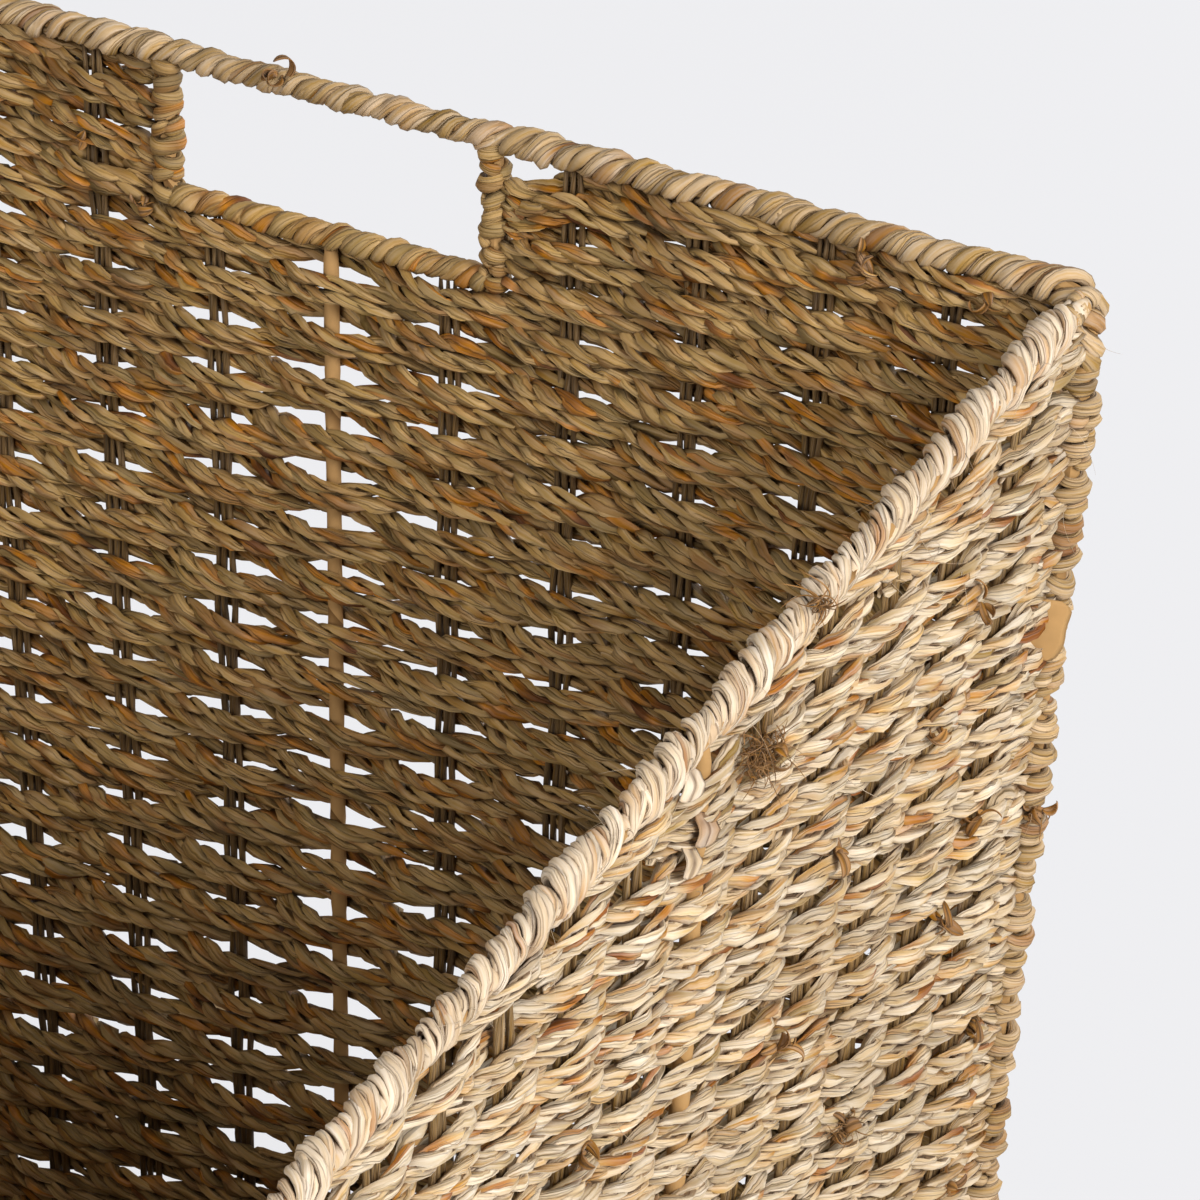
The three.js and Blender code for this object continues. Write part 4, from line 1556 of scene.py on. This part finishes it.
@dataclass
class RopeWhipping:
    """Leaf strands wound side by side at a slant, so that the covered rod looks like a rope."""

    name: str
    nodes: tuple[str, ...]
    leaf: bpy.types.Material
    route: Route
    seed: int
    core_radius: Callable[[np.ndarray], np.ndarray]
    strand_count: int = 3
    turn_length: float = 14.0
    half_out: float = 1.75
    half_side: float = 2.15
    rings_per_turn: int = 15
    section: StrandSection = StrandSection(crease_share=0.13)
    lay: Lay = Lay.LEFT_HANDED
    turn_drift: Drift = Drift(80.0, 0.35)
    angle_drift: Drift = Drift(27.0, 0.32)
    radius_drift: Drift = Drift(17.0, 0.7)
    swell_drift: Drift = Drift(15.0, 0.3)

    def build(self) -> list[Finished]:
        """Winds every strand from end to end."""
        rng = np.random.default_rng(self.seed)
        strands = StrandField(self.section, rng)
        route = self.route.evenly(ring_count(self.route.length, self.turn_length / self.rings_per_turn))
        place = route.distance
        turn = self.lay.value * TURN * place / self.turn_length + self.turn_drift.along(rng, place)
        for number in range(self.strand_count):
            angle = turn + TURN * number / self.strand_count + self.angle_drift.along(rng, place)
            radius = self.core_radius(place) + self.radius_drift.along(rng, place)
            swell = 1.0 + self.swell_drift.along(rng, place)
            strands.wind(route, angle, radius, self.half_out * swell, self.half_side * swell)
        return [Finished(strands.to_object(self.name), self.leaf, Slot.WHIPPING, self.nodes)]


@dataclass
class StackedWraps:
    """Turns of cord stacked one on the next round a rod."""

    name: str
    nodes: tuple[str, ...]
    leaf: bpy.types.Material
    route: Route
    seed: int
    pitch: float
    centre_radius: float
    half_out: float
    half_side: float
    slot: Slot = Slot.WEFT
    radius_spread: float = 0.7
    tilt: float = 1.2
    rings: int = 24
    overlap_angle: float = 0.5
    place_spread: float = 0.4
    tuck_depth: float = 0.7
    tuck_steepness: float = 9.0
    size_range: tuple[float, float] = (0.88, 1.12)
    radius_drift: Drift = Drift(40.0, 0.2)
    section: StrandSection = StrandSection(sides=8, leaves=4, crease_share=0.14)

    def build(self) -> list[Finished]:
        """Lays each turn, with its ends tucked under the next."""
        rng = np.random.default_rng(self.seed)
        strands = StrandField(self.section, rng)
        count = int(self.route.length / self.pitch)
        for number in range(count):
            middle = self.route.length * (number + 0.5) / count
            start = rng.uniform(0.0, TURN)
            share = np.linspace(0.0, 1.0, self.rings)
            angle = start + (TURN + self.overlap_angle) * share
            tilt = self.tilt * rng.uniform(-1.0, 1.0)
            place = (middle + self.pitch * 0.5 * (share - 0.5) + tilt * np.sin(angle)
                     + rng.uniform(-self.place_spread, self.place_spread))
            from_end = np.minimum(share, 1.0 - share)
            tucked = self.tuck_depth * (1.0 - smoothstep(from_end * self.tuck_steepness))
            radius = self.centre_radius + rng.uniform(-self.radius_spread, self.radius_spread) - tucked
            radius = radius + self.radius_drift.along(rng, angle * MM_PER_RADIAN)
            size = rng.uniform(*self.size_range)
            held = np.clip(place, 0.0, self.route.length)
            strands.wind(self.route.at(held), angle, radius, self.half_out * size, self.half_side * size)
        return [Finished(strands.to_object(self.name), self.leaf, self.slot, self.nodes)]


@dataclass
class KnuckledWhipping:
    """Whipping on the slanted and front rims: leaves taken over the rod in bunches that fan out on top."""

    name: str
    nodes: tuple[str, ...]
    leaf: bpy.types.Material
    route: Route
    seed: int
    knuckle_pitch: float = 8.4
    leaves_per_knuckle: int = 4
    centre_radius: float = 3.3
    middle_lift: float = 0.9
    head_lift: float = 0.8
    head_angle: float = math.radians(35)
    half_out: float = 1.3
    half_side: float = 1.4
    lean: float = 13.0
    lean_power: float = 1.7
    neck_length: float = 0.5
    neck_reach: float = 5.0
    neck_share: float = 0.45
    gathered_share: float = 0.5
    rings: int = 20
    first_angle: float = math.radians(170)
    last_angle: float = math.radians(-172)
    under_radius: float = 2.35
    under_half_out: float = 0.8
    under_sway: float = 0.6
    head_balance: float = 0.2
    arch_balance: float = 0.6
    fan_start: float = 2.5
    fan_span: float = 2.4
    middle_spread: float = 1.5
    gather_reach: float = 0.3
    gathered_width: float = 0.75
    lean_balance: float = 0.4
    lean_range: tuple[float, float] = (0.7, 1.35)
    fullness_range: tuple[float, float] = (0.8, 1.18)
    radius_range: tuple[float, float] = (-0.8, 0.7)
    size_range: tuple[float, float] = (0.62, 1.25)
    place_drift: Drift = Drift(26.0, 0.5)
    radius_drift: Drift = Drift(30.0, 0.45)
    section: StrandSection = StrandSection(sides=8, leaves=2, crease_share=0.18)

    def lay_under(self, strands: StrandField, middle: float, pitch: float) -> None:
        """Lays the flat turn that hides the rod in the gap beside a knuckle.

        Args:
            strands: The field that gets it.
            middle: The gap's place along the rim.
            pitch: The space from knuckle to knuckle.
        """
        angle = np.linspace(0.0, TURN, self.rings)
        place = np.clip(middle + self.under_sway * np.sin(angle), 0.0, self.route.length)
        strands.wind(self.route.at(place), angle, self.under_radius, self.under_half_out, 0.5 * pitch)

    def build(self) -> list[Finished]:
        """Takes each knuckle's leaves over the rod, from the inside over the top and down the outside."""
        rng = np.random.default_rng(self.seed)
        strands = StrandField(self.section, rng)
        count = round(self.route.length / self.knuckle_pitch)
        pitch = self.route.length / count
        angle = np.linspace(self.first_angle, self.last_angle, self.rings)
        spread = self.gathered_share + (1.0 - self.gathered_share) * smoothstep(
            (angle + self.fan_start) / self.fan_span)
        swept = (angle[0] - angle) / (angle[0] - angle[-1])
        leaned = self.lean * (swept ** self.lean_power - self.lean_balance)
        lifted = self.centre_radius + self.head_lift * (np.cos(angle - self.head_angle) - self.head_balance)
        for knuckle in range(count):
            self.lay_under(strands, pitch * knuckle, pitch)
            middle = pitch * (knuckle + 0.5) + rng.uniform(-self.middle_spread, self.middle_spread)
            fullness = rng.uniform(*self.fullness_range)
            gather = rng.uniform(-1.0, 1.0) * (1.0 - spread)
            for number in range(self.leaves_per_knuckle):
                aside = (number - (self.leaves_per_knuckle - 1) / 2) * pitch / self.leaves_per_knuckle
                arch = 1.0 - (2.0 * aside / pitch) ** 2
                place = (middle + aside * spread + gather * pitch * self.gather_reach
                         + leaned * rng.uniform(*self.lean_range))
                place = place + self.place_drift.along(rng, angle * MM_PER_RADIAN)
                radius = lifted * fullness + self.middle_lift * (arch - self.arch_balance)
                radius = (radius + self.radius_drift.along(rng, angle * MM_PER_RADIAN)
                          + rng.uniform(*self.radius_range))
                held = np.clip(place, 0.0, self.route.length)
                from_end = np.minimum(held, self.route.length - held)
                grown = smoothstep((from_end - self.neck_length) / self.neck_reach)
                neck = self.neck_share + (1.0 - self.neck_share) * grown
                size = fullness * rng.uniform(*self.size_range)
                width = self.gathered_width + (1.0 - self.gathered_width) * spread
                strands.wind(self.route.at(held), angle, radius * neck, self.half_out * size * neck,
                             self.half_side * size * width)
        return [Finished(strands.to_object(self.name), self.leaf, Slot.WHIPPING, self.nodes)]


@dataclass
class RimWork:
    """Everything that is whipped or wrapped round the frame's rods."""

    shape: BasketShape
    whipping: bpy.types.Material
    rim_leaf: bpy.types.Material
    weft: bpy.types.Material
    back_weft_and_painted_shade: bpy.types.Material
    bend_reach: float = 12.0
    slope_start: float = 8.0
    slope_neck: float = 10.5
    wall_foot: float = 7.6
    back_wrap_overlap: float = 2.0
    front_wrap_gap: float = 4.0
    grip_core: float = 1.75
    rim_core: float = 2.3
    grip_fade: float = 9.0
    corner_swell: float = 1.5
    corner_place: float = 18.0
    corner_reach: float = 12.0

    def back_rim(self) -> list[Finished]:
        """Whips the back rim, its two bends and the grip as one run."""
        shape = self.shape
        foot = shape.rim_height - RIM_BEND_RADIUS - self.bend_reach
        corners = [
            (shape.half_width(foot), shape.back_y, foot),
            (shape.rim_half_width, shape.back_y, shape.rim_height),
            (-shape.rim_half_width, shape.back_y, shape.rim_height),
            (-shape.half_width(foot), shape.back_y, foot),
        ]
        route = Route.through(rounded_line(corners, RIM_BEND_RADIUS), BACKWARD)

        def core_radius(place: np.ndarray) -> np.ndarray:
            """The strands' middle radius: thinner over the grip, thicker round the corners."""
            from_middle = np.abs(place - route.length / 2)
            share = smoothstep((from_middle - shape.post_x) / self.grip_fade + 0.5)
            from_corner = np.abs(from_middle - route.length / 2 + self.corner_place)
            swell = self.corner_swell * np.exp(-((from_corner / self.corner_reach) ** 2))
            return self.grip_core + (self.rim_core - self.grip_core) * share + swell

        nodes = ("back_rim_wrap_right", "back_rim_wrap_left", "handle_grip_wrap", "back_right_bend_wrap",
                 "back_left_bend_wrap")
        return RopeWhipping("back_rim_whipping", nodes, self.rim_leaf, route, 61, core_radius).build()

    def hand_opening(self) -> list[Finished]:
        """Whips the sill of the hand opening, and wraps its posts in turns of the back's cord."""
        shape = self.shape
        node = ("handle_surround_wrap",)
        ends = [(side.value * shape.post_x, shape.back_y, shape.sill_height) for side in Side]
        sill = Route.through(np.array(ends), BACKWARD)
        # The sill and the posts take the back's cord, whose darker tone is partly painted shade
        finished = RopeWhipping("sill_whipping", node, self.back_weft_and_painted_shade, sill, 67,
                                lambda place: np.full_like(place, 2.0), turn_length=13.0,
                                half_out=1.45, half_side=2.1).build()
        for side in Side:
            post = [(side.value * shape.post_x, shape.back_y, z)
                    for z in (shape.sill_height - 1.0, shape.rim_height - 1.0)]
            finished += StackedWraps(f"{side.word}_post_wraps", node, self.back_weft_and_painted_shade,
                                     Route.through(np.array(post), BACKWARD), 89 + side.value,
                                     pitch=3.9, centre_radius=2.9, half_out=1.5, half_side=2.3,
                                     tilt=1.8).build()
        return finished

    def front_and_slopes(self) -> list[Finished]:
        """Whips the slanted rims and the front rim with its bends."""
        shape = self.shape
        front_half = float(shape.half_width(shape.front_rim_height))
        right = np.array([shape.rim_half_width, shape.back_y, shape.rim_height])
        right_front = np.array([front_half, shape.front_rim_y, shape.front_rim_height])
        down_slope = unit(right_front - right)
        start = right + down_slope * self.slope_start
        bend = right_front + unit(right - right_front) * self.bend_reach
        overlap = down_slope * self.bend_reach
        mirror = np.array([-1.0, 1.0, 1.0])
        parts = (
            ("right_slope_whipping", [start, bend + overlap], ("right_slope_wrap",)),
            ("front_rim_whipping", [bend, right_front, right_front * mirror, bend * mirror],
             ("front_right_bend_wrap", "front_rim_wrap", "front_left_bend_wrap")),
            ("left_slope_whipping", [(bend + overlap) * mirror, start * mirror], ("left_slope_wrap",)),
        )
        finished = []
        for seed, (name, corners, nodes) in enumerate(parts, start=71):
            route = Route.through(rounded_line(corners, RIM_BEND_RADIUS), shape.rim_normal())
            finished += KnuckledWhipping(name, nodes, self.whipping, route, seed).build()
        neck = right + down_slope * self.slope_neck
        for side in Side:
            turned = np.array([side.value, 1.0, 1.0])
            route = Route.through(np.array([right * turned, neck * turned]), shape.rim_normal())
            # The necks take the tan leaf, whose darker tone here is painted shade
            finished += StackedWraps(f"{side.word}_slope_neck_wraps", (f"{side.word}_slope_wrap",),
                                     self.rim_leaf, route, 93 + side.value, slot=Slot.WHIPPING,
                                     pitch=3.0, centre_radius=2.5, radius_spread=0.2, half_out=0.9,
                                     half_side=1.7).build()
        return finished

    def corners(self) -> list[Finished]:
        """Wraps the four corner rods from the base edge to the rim."""
        shape = self.shape
        finished = []
        for side in Side:
            back_top = shape.rim_height - RIM_BEND_RADIUS - self.bend_reach + self.back_wrap_overlap
            back = [(side.value * shape.half_width(z), shape.back_y, z) for z in (self.wall_foot, back_top)]
            front_top = shape.front_rim_height - self.front_wrap_gap
            front = [(side.value * shape.half_width(z), shape.front_y(z), z)
                     for z in (self.wall_foot, front_top)]
            for word, ends, seed in (("back", back, 75), ("front", front, 79)):
                route = Route.through(np.array(ends), BACKWARD)
                # The corners take the tan leaf, whose darker tone here is painted shade
                finished += StackedWraps(f"{word}_{side.word}_corner_wraps",
                                         (f"{word}_{side.word}_corner_wrap",), self.rim_leaf, route,
                                         seed + side.value, pitch=3.8, centre_radius=3.4,
                                         radius_spread=0.9, half_out=1.8, half_side=1.95, tilt=2.0).build()
        return finished

    def base_edge(self) -> list[Finished]:
        """Wraps the base ring all the way round, its corners too."""
        shape = self.shape
        half = shape.ring_half_width
        corners = [
            (0.0, shape.ring_back_y, shape.ring_height),
            (half, shape.ring_back_y, shape.ring_height),
            (half, shape.ring_front_y, shape.ring_height),
            (-half, shape.ring_front_y, shape.ring_height),
            (-half, shape.ring_back_y, shape.ring_height),
            (0.0, shape.ring_back_y, shape.ring_height),
        ]
        route = Route.through(rounded_line(corners, RING_BEND_RADIUS), UPWARD)
        nodes = tuple(f"base_edge_wrap_{word}" for word in ("back", "front", "left", "right"))
        return StackedWraps("base_edge_wraps", nodes, self.weft, route, 83, pitch=4.9, centre_radius=2.25,
                            radius_spread=0.1, half_out=0.8, half_side=2.4, rings=14).build()

    def build(self) -> list[Finished]:
        """Makes all the whipping and wraps."""
        return (self.back_rim() + self.hand_opening() + self.front_and_slopes() + self.corners()
                + self.base_edge())


@dataclass(frozen=True)
class Tuft:
    """A place on the right wall where hairs stick out, measured forward and up in millimetres."""

    forward: float
    height: float
    spread: float
    hair_length: float
    hairs: int
    half_thickness: float


@dataclass
class LooseEnds:
    """Frayed brown tufts, curled leaf ends, stray hairs, leaf tabs and one flat end of the tape."""

    shape: BasketShape
    fibre: bpy.types.Material
    leaf: bpy.types.Material
    tape: bpy.types.Material
    seed: int = 97
    lift: float = 4.0
    hair_rings: int = 16
    stray_count: int = 150
    stray_length: float = 11.0
    stray_half_thickness: float = 0.09
    stray_reach: tuple[float, float] = (4.0, 300.0)
    stray_foot: float = 20.0
    below_rim: float = 8.0
    along_lean: float = 1.6
    against_lean: float = 0.6
    droop: float = 0.5
    bend_reach: float = 1.7
    turn_back: float = 1.1
    hair_taper: float = 0.6
    curl_radius: float = 2.4
    curls_per_place: int = 5
    section: StrandSection = StrandSection(sides=4, leaves=1, crease_share=0.0)
    leaf_section: StrandSection = StrandSection(sides=8, leaves=1, crease_share=0.0, uneven_share=0.04)
    tufts: tuple[Tuft, ...] = (
        Tuft(130.0, 291.0, 14.0, 4.6, 110, 0.2),
        Tuft(113.0, 322.0, 4.0, 5.0, 24, 0.3),
        Tuft(76.0, 169.0, 6.0, 3.6, 50, 0.2),
        Tuft(1.0, 222.0, 3.0, 4.4, 8, 0.35),
    )
    wall_curls: tuple[tuple[float, float], ...] = (
        (55.0, 266.0), (41.0, 210.0), (38.0, 207.0), (41.0, 293.0), (190.0, 214.0), (76.0, 169.0),
        (2.0, 222.0), (30.0, 232.0), (93.0, 250.0), (126.0, 289.0), (18.0, 168.0), (110.0, 205.0),
        (22.0, 128.0),
    )
    back_curls: tuple[tuple[float, float], ...] = (
        (-11.5, 359.0), (154.0, 352.0), (156.0, 348.0), (189.0, 350.0), (-72.0, 330.0), (-52.0, 316.0),
    )

    def on_wall(self, forward: float, height: float, lift: float) -> np.ndarray:
        """Gives a point that stands out from the right wall's middle.

        Args:
            forward: Its distance in front of the back wall.
            height: Its height.
            lift: How far it stands out.

        Returns:
            The point.
        """
        return np.array([float(self.shape.half_width(height)) + lift, self.shape.back_y - forward, height])

    def hair(self, strands: StrandField, start: np.ndarray, lean: np.ndarray, length: float,
             half_thickness: float) -> None:
        """Lays one hair that leaves its root and bends over.

        Args:
            strands: The field that gets it.
            start: Its root.
            lean: The direction that hairs prefer here, at length 0 to 1.
            length: Its length.
            half_thickness: Half its thickness.
        """
        aim = unit(strands.rng.normal(size=3) + self.along_lean * lean)
        bend = unit(strands.rng.normal(size=3) - self.against_lean * lean - self.droop * UPWARD)
        share = np.linspace(0.0, 1.0, self.hair_rings)[:, None]
        line = start + length * (share * aim + self.bend_reach * share * share * bend
                                 - self.turn_back * share ** 3 * aim)
        facing = np.broadcast_to(unit(np.cross(aim, bend)), line.shape)
        thickness = half_thickness * (1.0 - self.hair_taper * share[:, 0])
        strands.lay(line, facing, thickness, thickness)

    def frayed_tufts(self, rng: np.random.Generator) -> Finished:
        """Makes the brown tufts."""
        strands = StrandField(self.section, rng)
        for tuft in self.tufts:
            root = self.on_wall(tuft.forward, tuft.height, self.lift)
            for _ in range(tuft.hairs):
                start = root + tuft.spread * rng.uniform(-0.5, 0.5, 3) * np.array([0.3, 1.0, 0.6])
                self.hair(strands, start, 0.5 * RIGHTWARD, tuft.hair_length * rng.uniform(0.5, 1.2),
                          tuft.half_thickness * rng.uniform(0.6, 1.3))
        return Finished(strands.to_object("frayed_tufts"), self.fibre, Slot.WEFT, ())

    def curled_ends(self, rng: np.random.Generator) -> Finished:
        """Makes the brown leaf ends that have curled up, on the right wall and on the back."""
        strands = StrandField(self.leaf_section, rng)
        roots = [self.on_wall(forward, height, self.lift) for forward, height in self.wall_curls]
        roots += [np.array([x, self.shape.back_y - self.lift, z]) for x, z in self.back_curls]
        for root in roots:
            for _ in range(self.curls_per_place):
                axis = unit(rng.normal(size=3))
                first = unit(np.cross(axis, rng.normal(size=3)))
                second = np.cross(axis, first)
                angle = np.linspace(0.0, rng.uniform(1.8, 4.0), self.hair_rings)[:, None]
                spokes = np.cos(angle) * first + np.sin(angle) * second
                radius = self.curl_radius * rng.uniform(0.6, 1.15) * (1.0 + 0.1 * angle)
                line = root + rng.uniform(-1.3, 1.3, 3) + radius * (spokes - first)
                width = rng.uniform(0.9, 1.7) * np.sin(np.linspace(0.5, 2.8, self.hair_rings))
                strands.lay(line, spokes, 0.2, width, np.zeros(self.hair_rings))
        return Finished(strands.to_object("curled_ends"), self.fibre, Slot.WEFT, ())

    def stray_hairs(self, rng: np.random.Generator) -> Finished:
        """Makes the pale stray hairs along the right wall and its slanted rim."""
        strands = StrandField(self.section, rng)
        for number in range(self.stray_count):
            forward = rng.uniform(*self.stray_reach)
            rim = float(self.shape.rim_height_at(forward))
            on_rim = number % 3 == 0
            height = rim + 1.0 if on_rim else rng.uniform(self.stray_foot, rim - self.below_rim)
            start = self.on_wall(forward, height, 3.0 if on_rim else self.lift)
            lean = unit(np.array([0.6, 0.0, 1.0 if on_rim else 0.2]))
            self.hair(strands, start, lean, self.stray_length * rng.uniform(0.4, 1.1),
                      self.stray_half_thickness)
        return Finished(strands.to_object("stray_hairs"), self.leaf, Slot.WEFT, ())

    def ribbon(self, strands: StrandField, corners: list[np.ndarray], facing: np.ndarray,
               half_thickness: float, half_width: float) -> None:
        """Lays one flat leaf or tape end.

        Args:
            strands: The field that gets it.
            corners: The corners of its line.
            facing: The direction that its flat side faces.
            half_thickness: Half its thickness.
            half_width: Half its width.
        """
        route = Route.through(rounded_line(corners, 1.5), facing).evenly(self.hair_rings)
        strands.lay(route.points, route.outward, half_thickness, half_width, np.zeros(self.hair_rings))

    def leaf_tabs(self, rng: np.random.Generator) -> Finished:
        """Makes the leaf ends that turn up on the right wall."""
        strands = StrandField(self.leaf_section, rng)
        for forward, height, width in ((152.0, 280.0, 4.4), (157.0, 274.0, 3.2), (160.5, 295.0, 4.6)):
            corners = [self.on_wall(forward - 1.5, height + 3.5, 2.0),
                       self.on_wall(forward, height + 0.5, 5.6),
                       self.on_wall(forward + 1.0, height - 3.5, 5.0)]
            self.ribbon(strands, corners, np.array([0.9, 0.1, 0.4]), 0.22, width)
        return Finished(strands.to_object("leaf_tabs"), self.leaf, Slot.WEFT, ())

    def tape_end(self, rng: np.random.Generator) -> Finished:
        """Makes the flat end of the paper tape that sticks out beside the back right corner."""
        strands = StrandField(self.leaf_section, rng)
        outward = unit(np.array([0.6, -0.8, 0.0]))
        corners = [self.on_wall(2.0, 263.0, -2.6) + 5.0 * outward,
                   self.on_wall(1.0, 270.0, -1.0) + 5.9 * outward,
                   self.on_wall(1.0, 279.0, 0.4) + 5.0 * outward]
        self.ribbon(strands, corners, outward, 0.25, 4.8)
        return Finished(strands.to_object("tape_end"), self.tape, Slot.ROD, ())

    def build(self) -> list[Finished]:
        """Makes all the loose ends."""
        rng = np.random.default_rng(self.seed)
        return [self.frayed_tufts(rng), self.curled_ends(rng), self.stray_hairs(rng), self.leaf_tabs(rng),
                self.tape_end(rng)]


@dataclass
class TapedRods:
    """The CAD rods that stay in view: they get their paper."""

    tape: bpy.types.Material
    names: tuple[str, ...] = ("back_frame_rod", "front_rim_rod", "base_ring_rod", "handle_rod",
                              "front_right_upright_rod", "front_left_upright_rod")

    def dress(self) -> None:
        """Gives each rod the paper tape."""
        for name in self.names:
            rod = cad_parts[name]
            rod.data.materials.clear()
            rod.data.materials.append(self.tape)
            log.info("%s: dressed in paper tape", name)


@dataclass(frozen=True)
class SoftLamp:
    """A square soft lamp: where it hangs and faces and the length of its sides, in metres, and its power."""

    name: str
    place: Point
    target: Point
    size: float
    watts: float

    def build(self) -> None:
        """Hangs the lamp."""
        data = bpy.data.lights.new(self.name, "AREA")
        data.shape = "SQUARE"
        data.size = self.size
        data.energy = self.watts
        made = linked(self.name, data)
        made.location = self.place
        made.rotation_euler = (Vector(self.target) - Vector(self.place)).to_track_quat("-Z", "Y").to_euler()


@dataclass(frozen=True)
class Studio:
    """The pale floor, the soft lamps and the camera at the photograph's angle."""

    camera_place: Point = (1.2976, -1.6213, 1.2551)
    camera_turn: float = 34.24
    camera_tilt: float = 25.04
    lens: float = 298.9
    floor_size: float = 24.0
    floor_drop: float = 0.3
    ambient: float = 0.32
    lamps: tuple[SoftLamp, ...] = (
        SoftLamp("key_softbox", (1.8, -0.5, 1.1), (0.1, 0.0, 0.2), 0.8, 43.0),
        SoftLamp("back_softbox", (0.3, 1.9, 1.2), (0.0, 0.1, 0.3), 1.2, 22.0),
        SoftLamp("front_softbox", (0.2, -2.3, 0.9), (0.05, 0.1, 0.3), 1.0, 25.0),
    )

    def camera(self) -> None:
        """Sets the camera where the photograph was taken from."""
        turn, tilt = math.radians(self.camera_turn), math.radians(self.camera_tilt)
        data = bpy.data.cameras.new("camera")
        data.lens = self.lens
        data.sensor_width = 36.0
        data.clip_end = 60.0
        made = linked("camera", data)
        made.rotation_euler = (math.pi / 2 - tilt, 0.0, turn)
        made.location = self.camera_place
        bpy.context.scene.camera = made

    def floor(self) -> None:
        """Lays the pale floor."""
        bm = bmesh.new()
        bmesh.ops.create_grid(bm, x_segments=1, y_segments=1, size=self.floor_size / 2,
                              matrix=Matrix.Translation((0.0, 0.0, -self.floor_drop * MM)))
        mesh = bpy.data.meshes.new("studio_floor")
        bm.to_mesh(mesh)
        bm.free()
        mesh.materials.append(StudioPaper().material())
        made = linked("studio_floor", mesh)

    def world(self) -> None:
        """Makes the world: even pale light, and the background's own tone to the camera."""
        world = bpy.data.worlds.new("studio")
        world.use_nodes = True
        tree = world.node_tree
        tree.nodes.clear()
        output = add_node(tree, "ShaderNodeOutputWorld")
        path = add_node(tree, "ShaderNodeLightPath")
        light = add_node(tree, "ShaderNodeBackground",
                         {"Color": linear("#ffffff"), "Strength": self.ambient})
        seen = add_node(tree, "ShaderNodeBackground", {"Color": linear(PALE_BACKGROUND), "Strength": 1.0})
        direct = calculated(tree, "MAXIMUM", path.outputs["Is Camera Ray"],
                            path.outputs["Is Transmission Ray"])
        mixed = add_node(tree, "ShaderNodeMixShader",
                         {"Fac": direct, 1: light.outputs[0], 2: seen.outputs[0]})
        tree.links.new(mixed.outputs[0], output.inputs["Surface"])
        bpy.context.scene.world = world

    def build(self) -> None:
        """Sets up the studio."""
        self.camera()
        self.floor()
        self.world()
        for lamp in self.lamps:
            lamp.build()
        bpy.context.scene.view_settings.view_transform = "Standard"


def build_basket(shape: BasketShape) -> list[Finished]:
    """Builds every sub-assembly of the basket.

    Args:
        shape: The basket's leading sizes.

    Returns:
        The finished pieces.
    """
    weft = WEFT_LEAF.material()
    back_weft_and_painted_shade = BACK_LEAF_AND_PAINTED_SHADE.material()
    whipping = WHIPPING_LEAF.material()
    pale_stake = STAKE_LEAF_AND_PAINTED_SHADE.material()
    brown_stake = BROWN_STAKE_LEAF.material()
    rim_leaf = RIM_LEAF_AND_PAINTED_CORNER_SHADE.material()
    fibre = DRY_FIBRE.material()
    tape = PaperTape().material()
    pieces = []
    pieces += BackWall(shape, back_weft_and_painted_shade, "back_wall_rows", "back_weave", 11, piece_count=3).build()
    pieces += SideWall(shape, weft, "right_wall_rows", "right_weave", 13, side=Side.RIGHT,
                       piece_count=2, outward=(1.0, 0.0, 0.0)).build()
    pieces += SideWall(shape, weft, "left_wall_rows", "left_weave", 17, side=Side.LEFT,
                       piece_count=2, outward=(-1.0, 0.0, 0.0), ring_step=3.4).build()
    pieces += FrontWall(shape, weft, "front_wall_rows", "front_weave", 19, piece_count=2,
                        outward=(0.0, -1.0, 0.0), ring_step=3.4).build()
    pieces += WovenBase(shape, weft, "base_rows", "base_weave", 23, outward=(0.0, 0.0, 1.0),
                        weave_depth=2.5, ring_step=4.0).build()
    pieces += StakeSet(shape, pale_stake, brown_stake).build()
    pieces += TapedHoops(shape, tape).build()
    pieces += RimWork(shape, whipping, rim_leaf, weft, back_weft_and_painted_shade).build()
    pieces += LooseEnds(shape, fibre, whipping, tape).build()
    TapedRods(tape).dress()
    return pieces


def main() -> None:
    """Builds the basket and its studio."""
    logging.basicConfig(level=logging.INFO, format="%(message)s")
    Studio().build()
    for piece in build_basket(BasketShape.from_frame()):
        piece.register()


if __name__ == "__main__":
    main()
